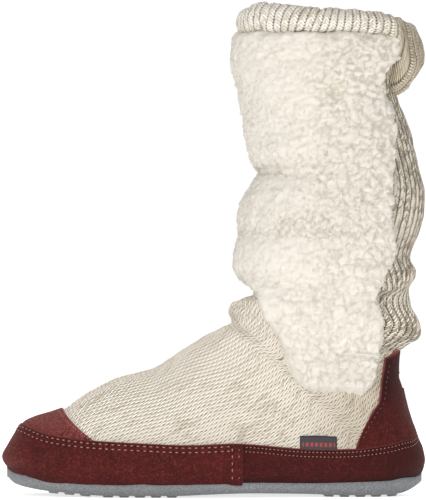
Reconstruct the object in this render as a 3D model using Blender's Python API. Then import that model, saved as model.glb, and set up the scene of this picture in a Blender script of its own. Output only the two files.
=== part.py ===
"""A left bootie slipper with a slouched shaft: a lined knit upper on a moulded sole, a suede band,
toe cap and heel counter, a curly pile panel round the shaft and a rolled rib cuff.

The frame: +Z is up, the toe points along -X, and the outer side of the foot is at -Y. The origin is on
the floor under the middle of the heel. Lengths are in metres.

Heights in the tables are levels: level 0 is the floor, level 1 the ankle, where the knit vamp ends and
the shaft starts, and level 2 the collar's rim. Places along the foot are shares of LENGTH, forwards of
the heel's middle in a column named ahead and backwards in one named behind.
"""

from collections import namedtuple
from math import cos, pi

import bmesh
import bpy
import numpy as np
from mathutils import Vector

# Main sizes of the shoe
LENGTH = 0.268
ANKLE_HEIGHT = 0.127
SHAFT_RISE = 0.171
BALL_WIDTH = 0.093
SHAFT_WIDTH = 0.086
TOE_ROUND = 0.055
HEEL_ROUND = 0.040
UNDERCUT = 0.0024
UNDERCUT_HEIGHT = 0.009

# Walls and clearances
WALL = 0.0035
GAP = 0.0003
FOXING_THICK = 0.0024
REAR_FOXING_THICK = 0.0020
SUEDE_THICK = 0.0016
LABEL_THICK = 0.0010
PILE = 0.009

# Sole
SOLE_THICK = 0.0073
SOLE_MARGIN = 0.0026
SOLE_EDGE_ROUND = 0.0030
TOE_SPRING = 0.0125
HEEL_LIFT = 0.0052
ARCH_LIFT = 0.0014
TREAD_DEPTH = 0.0013
TREAD_MARGIN = 0.0075
BAR_WIDTH = 0.0062
BAR_PITCH = 0.0100
BAR_FLANK = 0.0005
INSOLE_THICK = 0.0045
INSOLE_CLEARANCE = 0.0008

# Suede band, label and cuff
BAND_HEIGHT = 0.0275
BAND_SEAM_AHEAD = 0.0805
LABEL_WIDTH = 0.0235
LABEL_HEIGHT = 0.0075
LABEL_AHEAD = 0.0345
CUFF_THICK = 0.0100
CUFF_DROP = 0.0275
HEM_DEPTH = 0.0070

# How finely the forms are divided
COLUMNS = 30
OUTLINE_POINTS = 240
OVAL_POWER = 2.2
ROUND_POWER = 2.25
TABLE_STEPS = 300
LINE_STEPS = 34

FrontRow = namedtuple("FrontRow", "level ahead")
FRONT_LINE = [
    FrontRow(0.150, 0.862),
    FrontRow(0.194, 0.873),
    FrontRow(0.238, 0.863),
    FrontRow(0.297, 0.847),
    FrontRow(0.361, 0.827),
    FrontRow(0.394, 0.792),
    FrontRow(0.417, 0.754),
    FrontRow(0.433, 0.734),
    FrontRow(0.487, 0.700),
    FrontRow(0.528, 0.669),
    FrontRow(0.582, 0.618),
    FrontRow(0.615, 0.569),
    FrontRow(0.643, 0.521),
    FrontRow(0.684, 0.487),
    FrontRow(0.736, 0.444),
    FrontRow(0.781, 0.406),
    FrontRow(0.835, 0.360),
    FrontRow(0.874, 0.332),
    FrontRow(0.926, 0.339),
    FrontRow(0.966, 0.332),
    FrontRow(0.992, 0.313),
    FrontRow(1.004, 0.285),
    FrontRow(1.020, 0.246),
    FrontRow(1.062, 0.272),
    FrontRow(1.088, 0.292),
    FrontRow(1.123, 0.302),
    FrontRow(1.164, 0.298),
    FrontRow(1.234, 0.288),
    FrontRow(1.281, 0.292),
    FrontRow(1.337, 0.286),
    FrontRow(1.400, 0.264),
    FrontRow(1.449, 0.243),
    FrontRow(1.491, 0.244),
    FrontRow(1.542, 0.262),
    FrontRow(1.614, 0.269),
    FrontRow(1.673, 0.272),
    FrontRow(1.784, 0.283),
    FrontRow(1.877, 0.298),
    FrontRow(1.950, 0.298),
    FrontRow(2.000, 0.291),
]
NOSE_LEVEL = 0.194
FOLD_LEVEL = 0.874

BackRow = namedtuple("BackRow", "level behind")
BACK_LINE = [
    BackRow(0.105, 0.101),
    BackRow(0.142, 0.108),
    BackRow(0.181, 0.111),
    BackRow(0.236, 0.107),
    BackRow(0.283, 0.100),
    BackRow(0.339, 0.093),
    BackRow(0.386, 0.086),
    BackRow(0.488, 0.073),
    BackRow(0.559, 0.064),
    BackRow(0.622, 0.057),
    BackRow(0.693, 0.056),
    BackRow(0.726, 0.063),
    BackRow(0.750, 0.082),
    BackRow(0.782, 0.104),
    BackRow(0.834, 0.114),
    BackRow(0.894, 0.106),
    BackRow(0.966, 0.090),
    BackRow(1.012, 0.088),
    BackRow(1.097, 0.096),
    BackRow(1.141, 0.091),
    BackRow(1.181, 0.095),
    BackRow(1.239, 0.110),
    BackRow(1.312, 0.122),
    BackRow(1.380, 0.124),
    BackRow(1.468, 0.113),
    BackRow(1.566, 0.098),
    BackRow(1.640, 0.085),
    BackRow(1.727, 0.063),
    BackRow(1.762, 0.057),
    BackRow(1.865, 0.064),
    BackRow(2.000, 0.082),
]

# Widths of the foot along its length: a share of the ball's width, and how far the middle of the
# section lies towards the inner side, as a share of the ball's width too.
FootRow = namedtuple("FootRow", "ahead width inward")
FOOT_STATIONS = [
    FootRow(-0.150, 0.720, 0.000),
    FootRow(0.037, 0.731, 0.000),
    FootRow(0.149, 0.748, -0.015),
    FootRow(0.261, 0.806, -0.032),
    FootRow(0.373, 0.903, -0.030),
    FootRow(0.466, 0.978, -0.014),
    FootRow(0.552, 1.000, 0.008),
    FootRow(0.616, 0.985, 0.026),
    FootRow(0.690, 0.940, 0.044),
    FootRow(0.765, 0.885, 0.060),
    FootRow(0.821, 0.850, 0.070),
    FootRow(0.900, 0.830, 0.076),
]

# Widths of the shaft, where it bags out and pulls in, and the narrowing of the heel below it.
GirthRow = namedtuple("GirthRow", "level width")
SHAFT_GIRTH = [
    GirthRow(0.450, 0.880),
    GirthRow(0.720, 0.820),
    GirthRow(0.800, 0.910),
    GirthRow(0.860, 0.940),
    GirthRow(0.950, 0.915),
    GirthRow(1.020, 0.905),
    GirthRow(1.100, 0.985),
    GirthRow(1.170, 1.000),
    GirthRow(1.240, 0.955),
    GirthRow(1.350, 1.020),
    GirthRow(1.470, 0.940),
    GirthRow(1.570, 1.000),
    GirthRow(1.700, 1.015),
    GirthRow(1.880, 1.000),
    GirthRow(2.000, 0.975),
]
HEEL_TAPER = [GirthRow(0.200, 1.000), GirthRow(0.400, 0.940), GirthRow(0.700, 0.900)]
SHAFT_STARTS = 0.500
SHAFT_WHOLE = 0.980

# The sole's underside and thickness along the foot
SoleRow = namedtuple("SoleRow", "ahead spring heel arch thick")
SOLE_STATIONS = [
    SoleRow(-0.110, 0.000, 1.000, 0.000, 0.640),
    SoleRow(-0.093, 0.000, 0.560, 0.000, 0.900),
    SoleRow(-0.070, 0.000, 0.180, 0.000, 1.000),
    SoleRow(-0.030, 0.000, 0.000, 0.000, 0.980),
    SoleRow(0.090, 0.000, 0.000, 0.000, 0.900),
    SoleRow(0.180, 0.000, 0.000, 0.700, 0.900),
    SoleRow(0.300, 0.000, 0.000, 1.000, 0.930),
    SoleRow(0.400, 0.000, 0.000, 0.500, 0.880),
    SoleRow(0.470, 0.000, 0.000, 0.000, 0.820),
    SoleRow(0.640, 0.000, 0.000, 0.000, 0.820),
    SoleRow(0.700, 0.090, 0.000, 0.000, 0.830),
    SoleRow(0.770, 0.200, 0.000, 0.000, 0.900),
    SoleRow(0.820, 0.400, 0.000, 0.000, 0.930),
    SoleRow(0.850, 0.680, 0.000, 0.000, 0.860),
    SoleRow(0.868, 1.000, 0.000, 0.000, 0.720),
]
BAR_ZONES_AHEAD = ((0.772, 0.668), (0.654, 0.454), (0.130, -0.055))

# The band's top edge above the sole, as a share of its height
BandRow = namedtuple("BandRow", "ahead height")
BAND_TOP = [
    BandRow(-0.125, 1.100),
    BandRow(-0.102, 1.080),
    BandRow(-0.078, 0.955),
    BandRow(-0.028, 0.913),
    BandRow(0.010, 0.860),
    BandRow(0.060, 0.820),
    BandRow(0.172, 0.800),
    BandRow(0.300, 0.880),
    BandRow(0.343, 0.915),
    BandRow(0.416, 0.925),
    BandRow(0.580, 0.990),
    BandRow(0.666, 1.015),
    BandRow(0.750, 1.010),
    BandRow(0.790, 1.050),
    BandRow(0.836, 1.110),
    BandRow(0.880, 1.130),
]

# Edges of the pieces seen from the side
EdgeRow = namedtuple("EdgeRow", "ahead level")
TOE_CAP_EDGE = [
    EdgeRow(0.6575, 0.270),
    EdgeRow(0.688, 0.338),
    EdgeRow(0.7365, 0.438),
    EdgeRow(0.760, 0.500),
    EdgeRow(0.900, 0.500),
]
COUNTER_EDGE = [
    EdgeRow(0.039, 0.240),
    EdgeRow(0.027, 0.312),
    EdgeRow(0.014, 0.370),
    EdgeRow(-0.005, 0.438),
    EdgeRow(-0.013, 0.482),
    EdgeRow(-0.018, 0.576),
    EdgeRow(-0.023, 0.681),
    EdgeRow(-0.024, 0.706),
    EdgeRow(-0.170, 0.706),
]
FLEECE_EDGE = [
    EdgeRow(-0.041, 1.9715),
    EdgeRow(-0.044, 1.930),
    EdgeRow(-0.046, 1.875),
    EdgeRow(-0.040, 1.835),
    EdgeRow(-0.037, 1.796),
    EdgeRow(-0.048, 1.735),
    EdgeRow(-0.053, 1.590),
    EdgeRow(-0.046, 1.435),
    EdgeRow(-0.052, 1.320),
    EdgeRow(-0.048, 1.190),
    EdgeRow(-0.037, 1.115),
    EdgeRow(-0.016, 1.012),
    EdgeRow(-0.024, 0.930),
    EdgeRow(-0.022, 0.805),
    EdgeRow(-0.010, 0.690),
    EdgeRow(-0.004, 0.590),
    EdgeRow(0.012, 0.512),
    EdgeRow(0.034, 0.497),
    EdgeRow(0.070, 0.513),
    EdgeRow(0.108, 0.507),
    EdgeRow(0.160, 0.520),
    EdgeRow(0.196, 0.568),
    EdgeRow(0.221, 0.655),
    EdgeRow(0.228, 0.755),
    EdgeRow(0.244, 0.822),
    EdgeRow(0.267, 0.888),
    EdgeRow(0.286, 0.970),
    EdgeRow(0.296, 1.010),
    EdgeRow(0.450, 1.016),
    EdgeRow(0.450, 1.9715),
]
HEM_AHEAD = -0.046
HEM_THICK = 0.0055
PILE_EDGE = 0.30
PILE_EDGE_WIDTH = 0.013
FAR_BEHIND = -0.180

# Levels of the rings, and the shares of the way up from the sole to the first of them
FIRST_LEVEL = 0.355
LOWER_SHARES = (-0.25, 0.0, 0.14, 0.36, 0.68)
RING_LEVELS = (
    FIRST_LEVEL, 0.395, 0.430, 0.485, 0.550, 0.620, 0.680, 0.716, 0.745, 0.785, 0.830, 0.875, 0.930,
    0.975, 1.000, 1.022, 1.060, 1.110, 1.170, 1.235, 1.310, 1.380, 1.445, 1.510, 1.600, 1.720,
    1.765, 1.880, 2.000,
)

# The cuff's top, and how far it hangs lower, round the collar from the front, 0, to the back, 1
CuffRow = namedtuple("CuffRow", "back top drop")
CUFF_ROUND = [
    CuffRow(0.000, 0.860, 0.000),
    CuffRow(0.070, 1.000, 0.000),
    CuffRow(0.250, 0.840, 0.000),
    CuffRow(0.500, 0.720, 0.000),
    CuffRow(0.780, 0.600, 0.000),
    CuffRow(0.900, 0.420, 0.000),
    CuffRow(0.945, 0.340, 0.720),
    CuffRow(0.975, 0.280, 0.960),
    CuffRow(1.000, 0.260, 1.000),
]
CUFF_COLUMNS = 40
CUFF_RISE = 0.0160
CUFF_EDGE_BELOW = 0.0045
# The rolled section: outwards as a share of the thickness, and up from its lower edge to its top
RollRow = namedtuple("RollRow", "out up")
CUFF_ROLL = [
    RollRow(0.45, 0.00),
    RollRow(0.86, 0.12),
    RollRow(1.00, 0.38),
    RollRow(0.93, 0.66),
    RollRow(0.62, 0.89),
    RollRow(0.18, 1.00),
]

COLOURS = {
    "outsole": ((0.27, 0.28, 0.30), 0.6),
    "insole": ((0.80, 0.76, 0.68), 0.95),
    "upper": ((0.66, 0.60, 0.49), 0.9),
    "foxing_front": ((0.105, 0.022, 0.024), 0.9),
    "foxing_rear": ((0.100, 0.020, 0.022), 0.9),
    "toe_cap": ((0.125, 0.027, 0.029), 0.9),
    "heel_counter": ((0.095, 0.018, 0.020), 0.9),
    "fleece_panel": ((0.86, 0.82, 0.74), 0.95),
    "cuff": ((0.66, 0.60, 0.49), 0.9),
    "lining_hem": ((0.84, 0.80, 0.72), 0.95),
    "label": ((0.06, 0.055, 0.065), 0.8),
}


def level(number):
    """The height of a level."""
    if number <= 1:
        return ANKLE_HEIGHT * number
    return ANKLE_HEIGHT + SHAFT_RISE * (number - 1)


def smooth_curve(places, values):
    """A smooth curve through points, with no bulge past them: returns a function of the place."""
    xs = np.array(places, float)
    ys = np.array(values, float)
    steps = np.diff(xs)
    rises = np.diff(ys) / steps
    slopes = np.empty(len(xs))
    slopes[0], slopes[-1] = rises[0], rises[-1]
    for i in range(1, len(xs) - 1):
        before, after = rises[i - 1], rises[i]
        same_way = before * after > 0
        slopes[i] = 2 * before * after / (before + after) if same_way else 0.0

    def value(x):
        x = min(max(x, xs[0]), xs[-1])
        i = min(int(np.searchsorted(xs, x, side="right")) - 1, len(steps) - 1)
        t = (x - xs[i]) / steps[i]
        start = (1 + 2 * t) * (1 - t) ** 2 * ys[i] + t * (1 - t) ** 2 * steps[i] * slopes[i]
        end = t * t * (3 - 2 * t) * ys[i + 1] + t * t * (t - 1) * steps[i] * slopes[i + 1]
        return float(start + end)

    return value


def smooth_step(x, low, high):
    t = min(max((x - low) / (high - low), 0.0), 1.0)
    return t * t * (3 - 2 * t)


def round_end(share):
    """The width at a share of the way in from a rounded end: 0 at the end, 1 from share 1 on."""
    inside = min(max(share, 0.0), 1.0)
    return (1 - (1 - inside) ** ROUND_POWER) ** (1 / ROUND_POWER)


front_x = smooth_curve([level(r.level) for r in FRONT_LINE], [-LENGTH * r.ahead for r in FRONT_LINE])
back_x = smooth_curve([level(r.level) for r in BACK_LINE], [LENGTH * r.behind for r in BACK_LINE])
foot_width = smooth_curve([r.ahead for r in FOOT_STATIONS], [r.width for r in FOOT_STATIONS])
foot_inward = smooth_curve([r.ahead for r in FOOT_STATIONS], [r.inward for r in FOOT_STATIONS])
shaft_girth = smooth_curve([level(r.level) for r in SHAFT_GIRTH], [r.width for r in SHAFT_GIRTH])
heel_taper = smooth_curve([level(r.level) for r in HEEL_TAPER], [r.width for r in HEEL_TAPER])
spring = smooth_curve([r.ahead for r in SOLE_STATIONS], [r.spring for r in SOLE_STATIONS])
heel_lift = smooth_curve([r.ahead for r in SOLE_STATIONS], [r.heel for r in SOLE_STATIONS])
arch = smooth_curve([r.ahead for r in SOLE_STATIONS], [r.arch for r in SOLE_STATIONS])
sole_thick = smooth_curve([r.ahead for r in SOLE_STATIONS], [r.thick for r in SOLE_STATIONS])
band_share = smooth_curve([r.ahead for r in BAND_TOP], [r.height for r in BAND_TOP])
fleece_back_rows = [r for r in FLEECE_EDGE if r.ahead < 0.030][::-1]
fleece_back = smooth_curve(
    [level(r.level) for r in fleece_back_rows], [-LENGTH * r.ahead for r in fleece_back_rows]
)
cuff_top = smooth_curve([r.back for r in CUFF_ROUND], [r.top for r in CUFF_ROUND])
cuff_drop = smooth_curve([r.back for r in CUFF_ROUND], [r.drop for r in CUFF_ROUND])

# The instep's ridge, as heights over places, for the domed sections of the forefoot
ridge_heights = np.linspace(level(NOSE_LEVEL), level(FOLD_LEVEL), TABLE_STEPS)
ridge_places = np.array([front_x(z) for z in ridge_heights])
RIDGE_SLOPE_BEHIND = 1.6


def instep_top(x):
    """The height of the instep's ridge over a place along the foot."""
    if x > ridge_places[-1]:
        return ridge_heights[-1] + RIDGE_SLOPE_BEHIND * (x - ridge_places[-1])
    return float(np.interp(x, ridge_places, ridge_heights))


# Places along the foot that every line near the sole is drawn through, closer at the toe and heel
line_turns = np.linspace(0, pi, LINE_STEPS + 1)
LINE_PLACES = np.concatenate((
    [-LENGTH * 1.15],
    LENGTH * (-0.880 + 1.005 * (1 - np.cos(line_turns)) / 2),
    [LENGTH * 0.35],
))


def sole_bottom(x):
    """The height of the sole's underside between its bars."""
    ahead = -x / LENGTH
    lift = TOE_SPRING * spring(ahead) + HEEL_LIFT * heel_lift(ahead) + ARCH_LIFT * arch(ahead)
    return TREAD_DEPTH + lift


feather_heights = [sole_bottom(x) + SOLE_THICK * sole_thick(-x / LENGTH) for x in LINE_PLACES]


def feather(x):
    """The height of the sole's top edge, which the upper and the band stand on."""
    return float(np.interp(x, LINE_PLACES, feather_heights))


def band_top(x):
    return feather(x) + BAND_HEIGHT * band_share(-x / LENGTH)


def centre_line(x, z):
    """How far the middle of a section lies towards the inner side of the foot."""
    share = 1 - smooth_step(z, level(SHAFT_STARTS), level(SHAFT_WHOLE))
    return BALL_WIDTH * foot_inward(-x / LENGTH) * share


def half_width(x, z):
    """Half the width of the knit form at a place along the foot and a height."""
    low, high = front_x(z), back_x(z)
    if not low < x < high:
        return 0.0
    nose = level(NOSE_LEVEL)
    tip = low if z < nose else front_x(nose)
    ends = round_end((x - tip) / TOE_ROUND) * round_end((high - x) / HEEL_ROUND)
    share_up = max(z - nose, 0.0) / max(instep_top(x) - nose, GAP)
    dome = max(1 - share_up**2, 0.0) ** 0.5
    under = UNDERCUT * max(1 - (z - feather(x)) / UNDERCUT_HEIGHT, 0.0) ** 2
    foot = BALL_WIDTH / 2 * foot_width(-x / LENGTH) * ends * dome * heel_taper(z) - under
    along = 2 * (x - low) / (high - low) - 1
    oval = (1 - abs(along) ** OVAL_POWER) ** (1 / OVAL_POWER)
    shaft = SHAFT_WIDTH / 2 * shaft_girth(z) * oval
    blend = smooth_step(z, level(SHAFT_STARTS), level(SHAFT_WHOLE))
    return max((1 - blend) * foot + blend * shaft, 0.0)


def ring(height, columns=COLUMNS):
    """One closed ring of the knit form, from the front round the outer side to the back and home.
    height gives the ring's height over each place."""
    start = front_x(height(-LENGTH * FRONT_LINE[1].ahead))
    end = back_x(height(LENGTH * BACK_LINE[0].behind))
    points = []
    for i in range(columns):
        angle = 2 * pi * i / columns
        x = start + (end - start) * (1 - cos(angle)) / 2
        z = height(x)
        side = 0 if i in (0, columns // 2) else (-1 if i < columns // 2 else 1)
        points.append(Vector((x, centre_line(x, z) + side * half_width(x, z), z)))
    return points


def lower_height(share):
    """Ring heights part of the way from the sole's edge to the first level ring."""
    return lambda x: feather(x) + GAP + share * (level(FIRST_LEVEL) - feather(x) - GAP)


def all_rings(with_skirt):
    """The knit form's rings from the sole up to the rim. The skirt is one ring below the sole's edge."""
    shares = LOWER_SHARES if with_skirt else LOWER_SHARES[1:]
    rings = [ring(lower_height(s)) for s in shares]
    return rings + [ring(lambda x, h=h: level(h)) for h in RING_LEVELS]


def grown(points, amounts):
    """A ring grown outwards in its own plane, by an amount for each of its points."""
    count = len(points)
    moved = []
    for i, (point, amount) in enumerate(zip(points, amounts)):
        along = points[(i + 1) % count] - points[i - 1]
        outward = Vector((along.y, -along.x, 0)).normalized()
        moved.append(point + outward * amount)
    return moved


def skin(bm, rings):
    """Skins a stack of closed rings with faces and returns the vertices, ring by ring."""
    rows = [[bm.verts.new(p) for p in points] for points in rings]
    loops = []
    for row in rows:
        loops.append([bm.edges.new((row[i - 1], row[i])) for i in range(len(row))])
    for lower, upper in zip(rows, rows[1:]):
        for i in range(len(lower)):
            bm.faces.new((lower[i - 1], lower[i], upper[i], upper[i - 1]))
    return rows


def finish_mesh(bm, name, merge=1e-6):
    """Merges what coincides, splits faces the same way on every form and turns them outwards."""
    bmesh.ops.remove_doubles(bm, verts=bm.verts, dist=merge)
    bmesh.ops.triangulate(bm, faces=bm.faces, quad_method="FIXED")
    bmesh.ops.recalc_face_normals(bm, faces=bm.faces)
    mesh = bpy.data.meshes.new(name)
    bm.to_mesh(mesh)
    bm.free()
    mesh.shade_smooth()
    mesh.set_sharp_from_angle(angle=pi / 5)
    return mesh


def add_object(name, mesh):
    """Puts a mesh in the scene as one named piece with its own material."""
    part = bpy.data.objects.new(name, mesh)
    bpy.context.scene.collection.objects.link(part)
    if name in COLOURS:
        colour, roughness = COLOURS[name]
        material = bpy.data.materials.new(name)
        material.use_nodes = True
        shader = material.node_tree.nodes["Principled BSDF"]
        shader.inputs["Base Color"].default_value = (*colour, 1)
        shader.inputs["Roughness"].default_value = roughness
        shader.inputs["Metallic"].default_value = 0.0
        mesh.materials.append(material)
    return part


def as_cutter(part):
    part.hide_render = True
    part.display_type = "WIRE"
    return part


def offset_rows(bm, rows, amount):
    """Moves skinned rows along their outward normals."""
    bm.normal_update()
    centre = sum((v.co for v in rows[0]), Vector()) / len(rows[0])
    first = rows[0][len(rows[0]) // 4]
    way = 1 if first.normal.dot(first.co - centre) > 0 else -1
    moved = [[v.co + v.normal * amount * way for v in row] for row in rows]
    for row, places in zip(rows, moved):
        for vert, place in zip(row, places):
            vert.co = place


def close_ends(bm, rows):
    """Closes both ends of a skinned stack with a fan round the middle of each end ring."""
    for row in (rows[0], rows[-1]):
        hub = bm.verts.new(sum((v.co for v in row), Vector()) / len(row))
        for i in range(len(row)):
            bm.faces.new((row[i - 1], row[i], hub))


def last_form(name, amount):
    """A closed solid of the knit form, moved outwards by an amount: it cuts and bounds the overlays."""
    bm = bmesh.new()
    rows = skin(bm, all_rings(with_skirt=True))
    offset_rows(bm, rows, amount)
    for vert in rows[-1]:
        vert.co.z = level(2) + amount
    close_ends(bm, rows)
    return add_object(name, finish_mesh(bm, name))


def pile_form(name):
    """A closed solid of the knit form grown sideways by the pile, which thins towards its back edge."""
    bm = bmesh.new()
    rings = []
    for points in all_rings(with_skirt=True):
        edge = fleece_back(points[0].z)
        amounts = [PILE * (1 - (1 - PILE_EDGE) * smooth_step(p.x, edge - PILE_EDGE_WIDTH, edge)) for p in points]
        rings.append(grown(points, amounts))
    close_ends(bm, skin(bm, rings))
    return add_object(name, finish_mesh(bm, name))


def side_prism(name, outline, near=-1.0, far=1.0):
    """A cutter with an outline seen from the side, from y = near to y = far."""
    bm = bmesh.new()
    verts = [bm.verts.new((x, near, z)) for x, z in outline]
    face = bm.faces.new(verts)
    made = bmesh.ops.extrude_face_region(bm, geom=[face], use_keep_orig=True)
    moved = [v for v in made["geom"] if isinstance(v, bmesh.types.BMVert)]
    bmesh.ops.translate(bm, verts=moved, vec=(0, far - near, 0))
    return as_cutter(add_object(name, finish_mesh(bm, name)))


def cut(part, cutter, operation):
    modifier = part.modifiers.new(cutter.name, "BOOLEAN")
    modifier.object = cutter
    modifier.operation = operation
    modifier.solver = "EXACT"


def overlay(name, form, outline, inner_form, near=-1.0, far=1.0):
    """A piece laid on the upper: form less the upper's own space, kept inside a side outline."""
    cut(form, inner_form, "DIFFERENCE")
    cut(form, side_prism(name + "_outline", outline, near, far), "INTERSECT")
    return form


def edge_points(rows):
    return [(-LENGTH * r.ahead, level(r.level)) for r in rows]


def line_over(function, start, end, raised=0.0):
    """Points of a line drawn over the length of the foot. Lines that run along each other share the
    same places, so that they keep their distance."""
    heights = [function(float(x)) for x in LINE_PLACES]
    inside = [float(x) for x in LINE_PLACES if start + GAP < x < end - GAP]
    return [(x, float(np.interp(x, LINE_PLACES, heights)) + raised) for x in [start, *inside, end]]


def make_upper():
    """The lined knit foot and shaft as one hollow wall, open at the collar and underneath."""
    bm = bmesh.new()
    outer = skin(bm, all_rings(with_skirt=False))
    liner = bmesh.new()
    liner_rows = skin(liner, all_rings(with_skirt=True))
    offset_rows(liner, liner_rows, -WALL)
    inner_rings = [[v.co.copy() for v in row] for row in liner_rows[1:]]
    liner.free()
    for inner_ring, outer_row in ((inner_rings[0], outer[0]), (inner_rings[-1], outer[-1])):
        for place, vert in zip(inner_ring, outer_row):
            place.z = vert.co.z
    inner = skin(bm, inner_rings)
    for outer_row, inner_row in ((outer[0], inner[0]), (outer[-1], inner[-1])):
        for i in range(len(outer_row)):
            bm.faces.new((outer_row[i - 1], outer_row[i], inner_row[i], inner_row[i - 1]))
    return add_object("upper", finish_mesh(bm, "upper"))


def sole_outline(amount, height_share=0.0):
    """Where the lower edge of the knit form, grown by an amount, lies over each place along the foot:
    returns its front, its back and a function that gives the outer and inner side."""
    points = grown(ring(lower_height(height_share), OUTLINE_POINTS), [amount] * OUTLINE_POINTS)
    half = OUTLINE_POINTS // 2
    outer = points[: half + 1]
    inner = [points[0]] + points[:half - 1:-1]

    def sides(x):
        found = []
        for line in (outer, inner):
            xs = np.maximum.accumulate([p.x for p in line])
            found.append(float(np.interp(x, xs, [p.y for p in line])))
        return found

    return points[0].x, points[half].x, sides


def tread_stations(front, back):
    """Places along the sole for its sections, each with how far the bars stand out there."""
    bars = []
    for toeward, heelward in BAR_ZONES_AHEAD:
        low, high = -LENGTH * toeward, -LENGTH * heelward
        count = int((high - low + BAR_PITCH - BAR_WIDTH) // BAR_PITCH)
        first = (low + high) / 2 - (count - 1) * BAR_PITCH / 2
        bars += [first + i * BAR_PITCH for i in range(count)]
    stations = []
    for middle in bars:
        reach = BAR_WIDTH / 2
        stations.append((middle - reach - BAR_FLANK, 0.0))
        stations += [(middle - reach, TREAD_DEPTH), (middle + reach, TREAD_DEPTH)]
        stations.append((middle + reach + BAR_FLANK, 0.0))
    near_bar = BAR_WIDTH / 2 + 3 * BAR_FLANK
    ends = [front + BAR_FLANK / 2, back - BAR_FLANK / 2]
    inside = [float(x) for x in LINE_PLACES if front + BAR_FLANK < x < back - BAR_FLANK]
    plain = [x for x in inside if all(abs(x - m) > near_bar for m in bars)]
    return sorted(stations + [(x, 0.0) for x in ends + plain])


def loft_sections(name, sections):
    """A solid skinned through closed sections along the foot, closed at its first and last."""
    bm = bmesh.new()
    rows = skin(bm, sections)
    bm.faces.new(rows[0])
    bm.faces.new(rows[-1])
    return add_object(name, finish_mesh(bm, name))


def make_outsole():
    """The moulded sole: toe spring, raised arch, round lower edge and bars of tread."""
    front, back, sides = sole_outline(SOLE_MARGIN)
    sections = []
    for x, stand_out in tread_stations(front, back):
        outer, inner = sides(x)
        top = feather(x)
        bottom = sole_bottom(x)
        edge = min(SOLE_EDGE_ROUND, (inner - outer) / 2.2, (top - bottom) * 0.7)
        margin = min(TREAD_MARGIN, (inner - outer) / 2.1)
        corner = [(0.0, 1.0), (0.29, 0.29), (1.0, 0.0)]
        right = [(outer + edge * a, bottom + edge * b) for a, b in corner]
        left = [(inner - edge * a, bottom + edge * b) for a, b in reversed(corner)]
        bar = [
            (outer + margin, bottom),
            (outer + margin, bottom - stand_out),
            (inner - margin, bottom - stand_out),
            (inner - margin, bottom),
        ]
        outline = [(outer, top)] + right + bar + left + [(inner, top)]
        sections.append([Vector((x, y, z)) for y, z in outline])
    return loft_sections("outsole", sections)


def make_insole():
    """The footbed: the space inside the foot, up to the footbed's height above the sole."""
    toe, heel = float(LINE_PLACES[0]), float(LINE_PLACES[-1])
    lower = line_over(feather, toe, heel, GAP)
    upper = line_over(feather, toe, heel, GAP + INSOLE_THICK)
    insole = last_form("insole", -(WALL + INSOLE_CLEARANCE))
    cut(insole, side_prism("insole_outline", lower + upper[::-1]), "INTERSECT")


def make_band(inner_form):
    """The suede band round the foot, in a front and a rear piece that meet at both sides."""
    lap = FOXING_THICK + GAP
    seam = -BAND_SEAM_AHEAD
    toe = -LENGTH * 1.1
    heel = LENGTH * 0.2
    for name, start, end, thick in (
        ("foxing_front", toe, seam - GAP / 2, lap),
        ("foxing_rear", seam + GAP / 2, heel, REAR_FOXING_THICK + GAP),
    ):
        lower = line_over(feather, start, end, GAP)
        upper = line_over(band_top, start, end)
        overlay(name, last_form(name, thick), lower + upper[::-1], inner_form)


def make_toe_cap(inner_form):
    edge = edge_points(TOE_CAP_EDGE)
    toe = edge[-1][0] - LENGTH * 0.1
    meets = edge[0][0]
    lower = line_over(band_top, toe, meets, GAP)
    outline = lower + edge[1:] + [(toe, edge[-1][1])]
    overlay("toe_cap", last_form("toe_cap", SUEDE_THICK + GAP), outline, inner_form)


def make_heel_counter(inner_form):
    edge = edge_points(COUNTER_EDGE)
    lower = line_over(band_top, edge[0][0], edge[-1][0], GAP)[::-1]
    outline = lower + edge[1:]
    overlay("heel_counter", last_form("heel_counter", SUEDE_THICK + GAP), outline, inner_form)


def make_fleece_panel(inner_form):
    panel = overlay("fleece_panel", pile_form("fleece_panel"), edge_points(FLEECE_EDGE), inner_form)
    cut(panel, as_cutter(cuff_form("cuff_space", GAP)), "DIFFERENCE")


def cuff_lower_edge(back_share):
    return level(2) - CUFF_EDGE_BELOW - CUFF_DROP * cuff_drop(back_share)


def make_lining_hem(inner_form):
    """The turned edge of the lining, just under the cuff's back."""
    top = cuff_lower_edge(1.0) - GAP
    low, near, far = top - HEM_DEPTH, -LENGTH * HEM_AHEAD, -LENGTH * FAR_BEHIND
    outline = [(near, low), (far, low), (far, top), (near, top)]
    overlay("lining_hem", last_form("lining_hem", HEM_THICK), outline, inner_form)


def make_label(inner_form):
    """The folded woven tab that stands on the band at the outer side."""
    start = -LABEL_AHEAD - LABEL_WIDTH / 2
    end = -LABEL_AHEAD + LABEL_WIDTH / 2
    lower = line_over(band_top, start, end, GAP)
    top = lower[0][1] + LABEL_HEIGHT
    outline = lower + [(end, top), (start, top)]
    overlay("label", last_form("label", LABEL_THICK + GAP), outline, inner_form, far=0.0)


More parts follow.
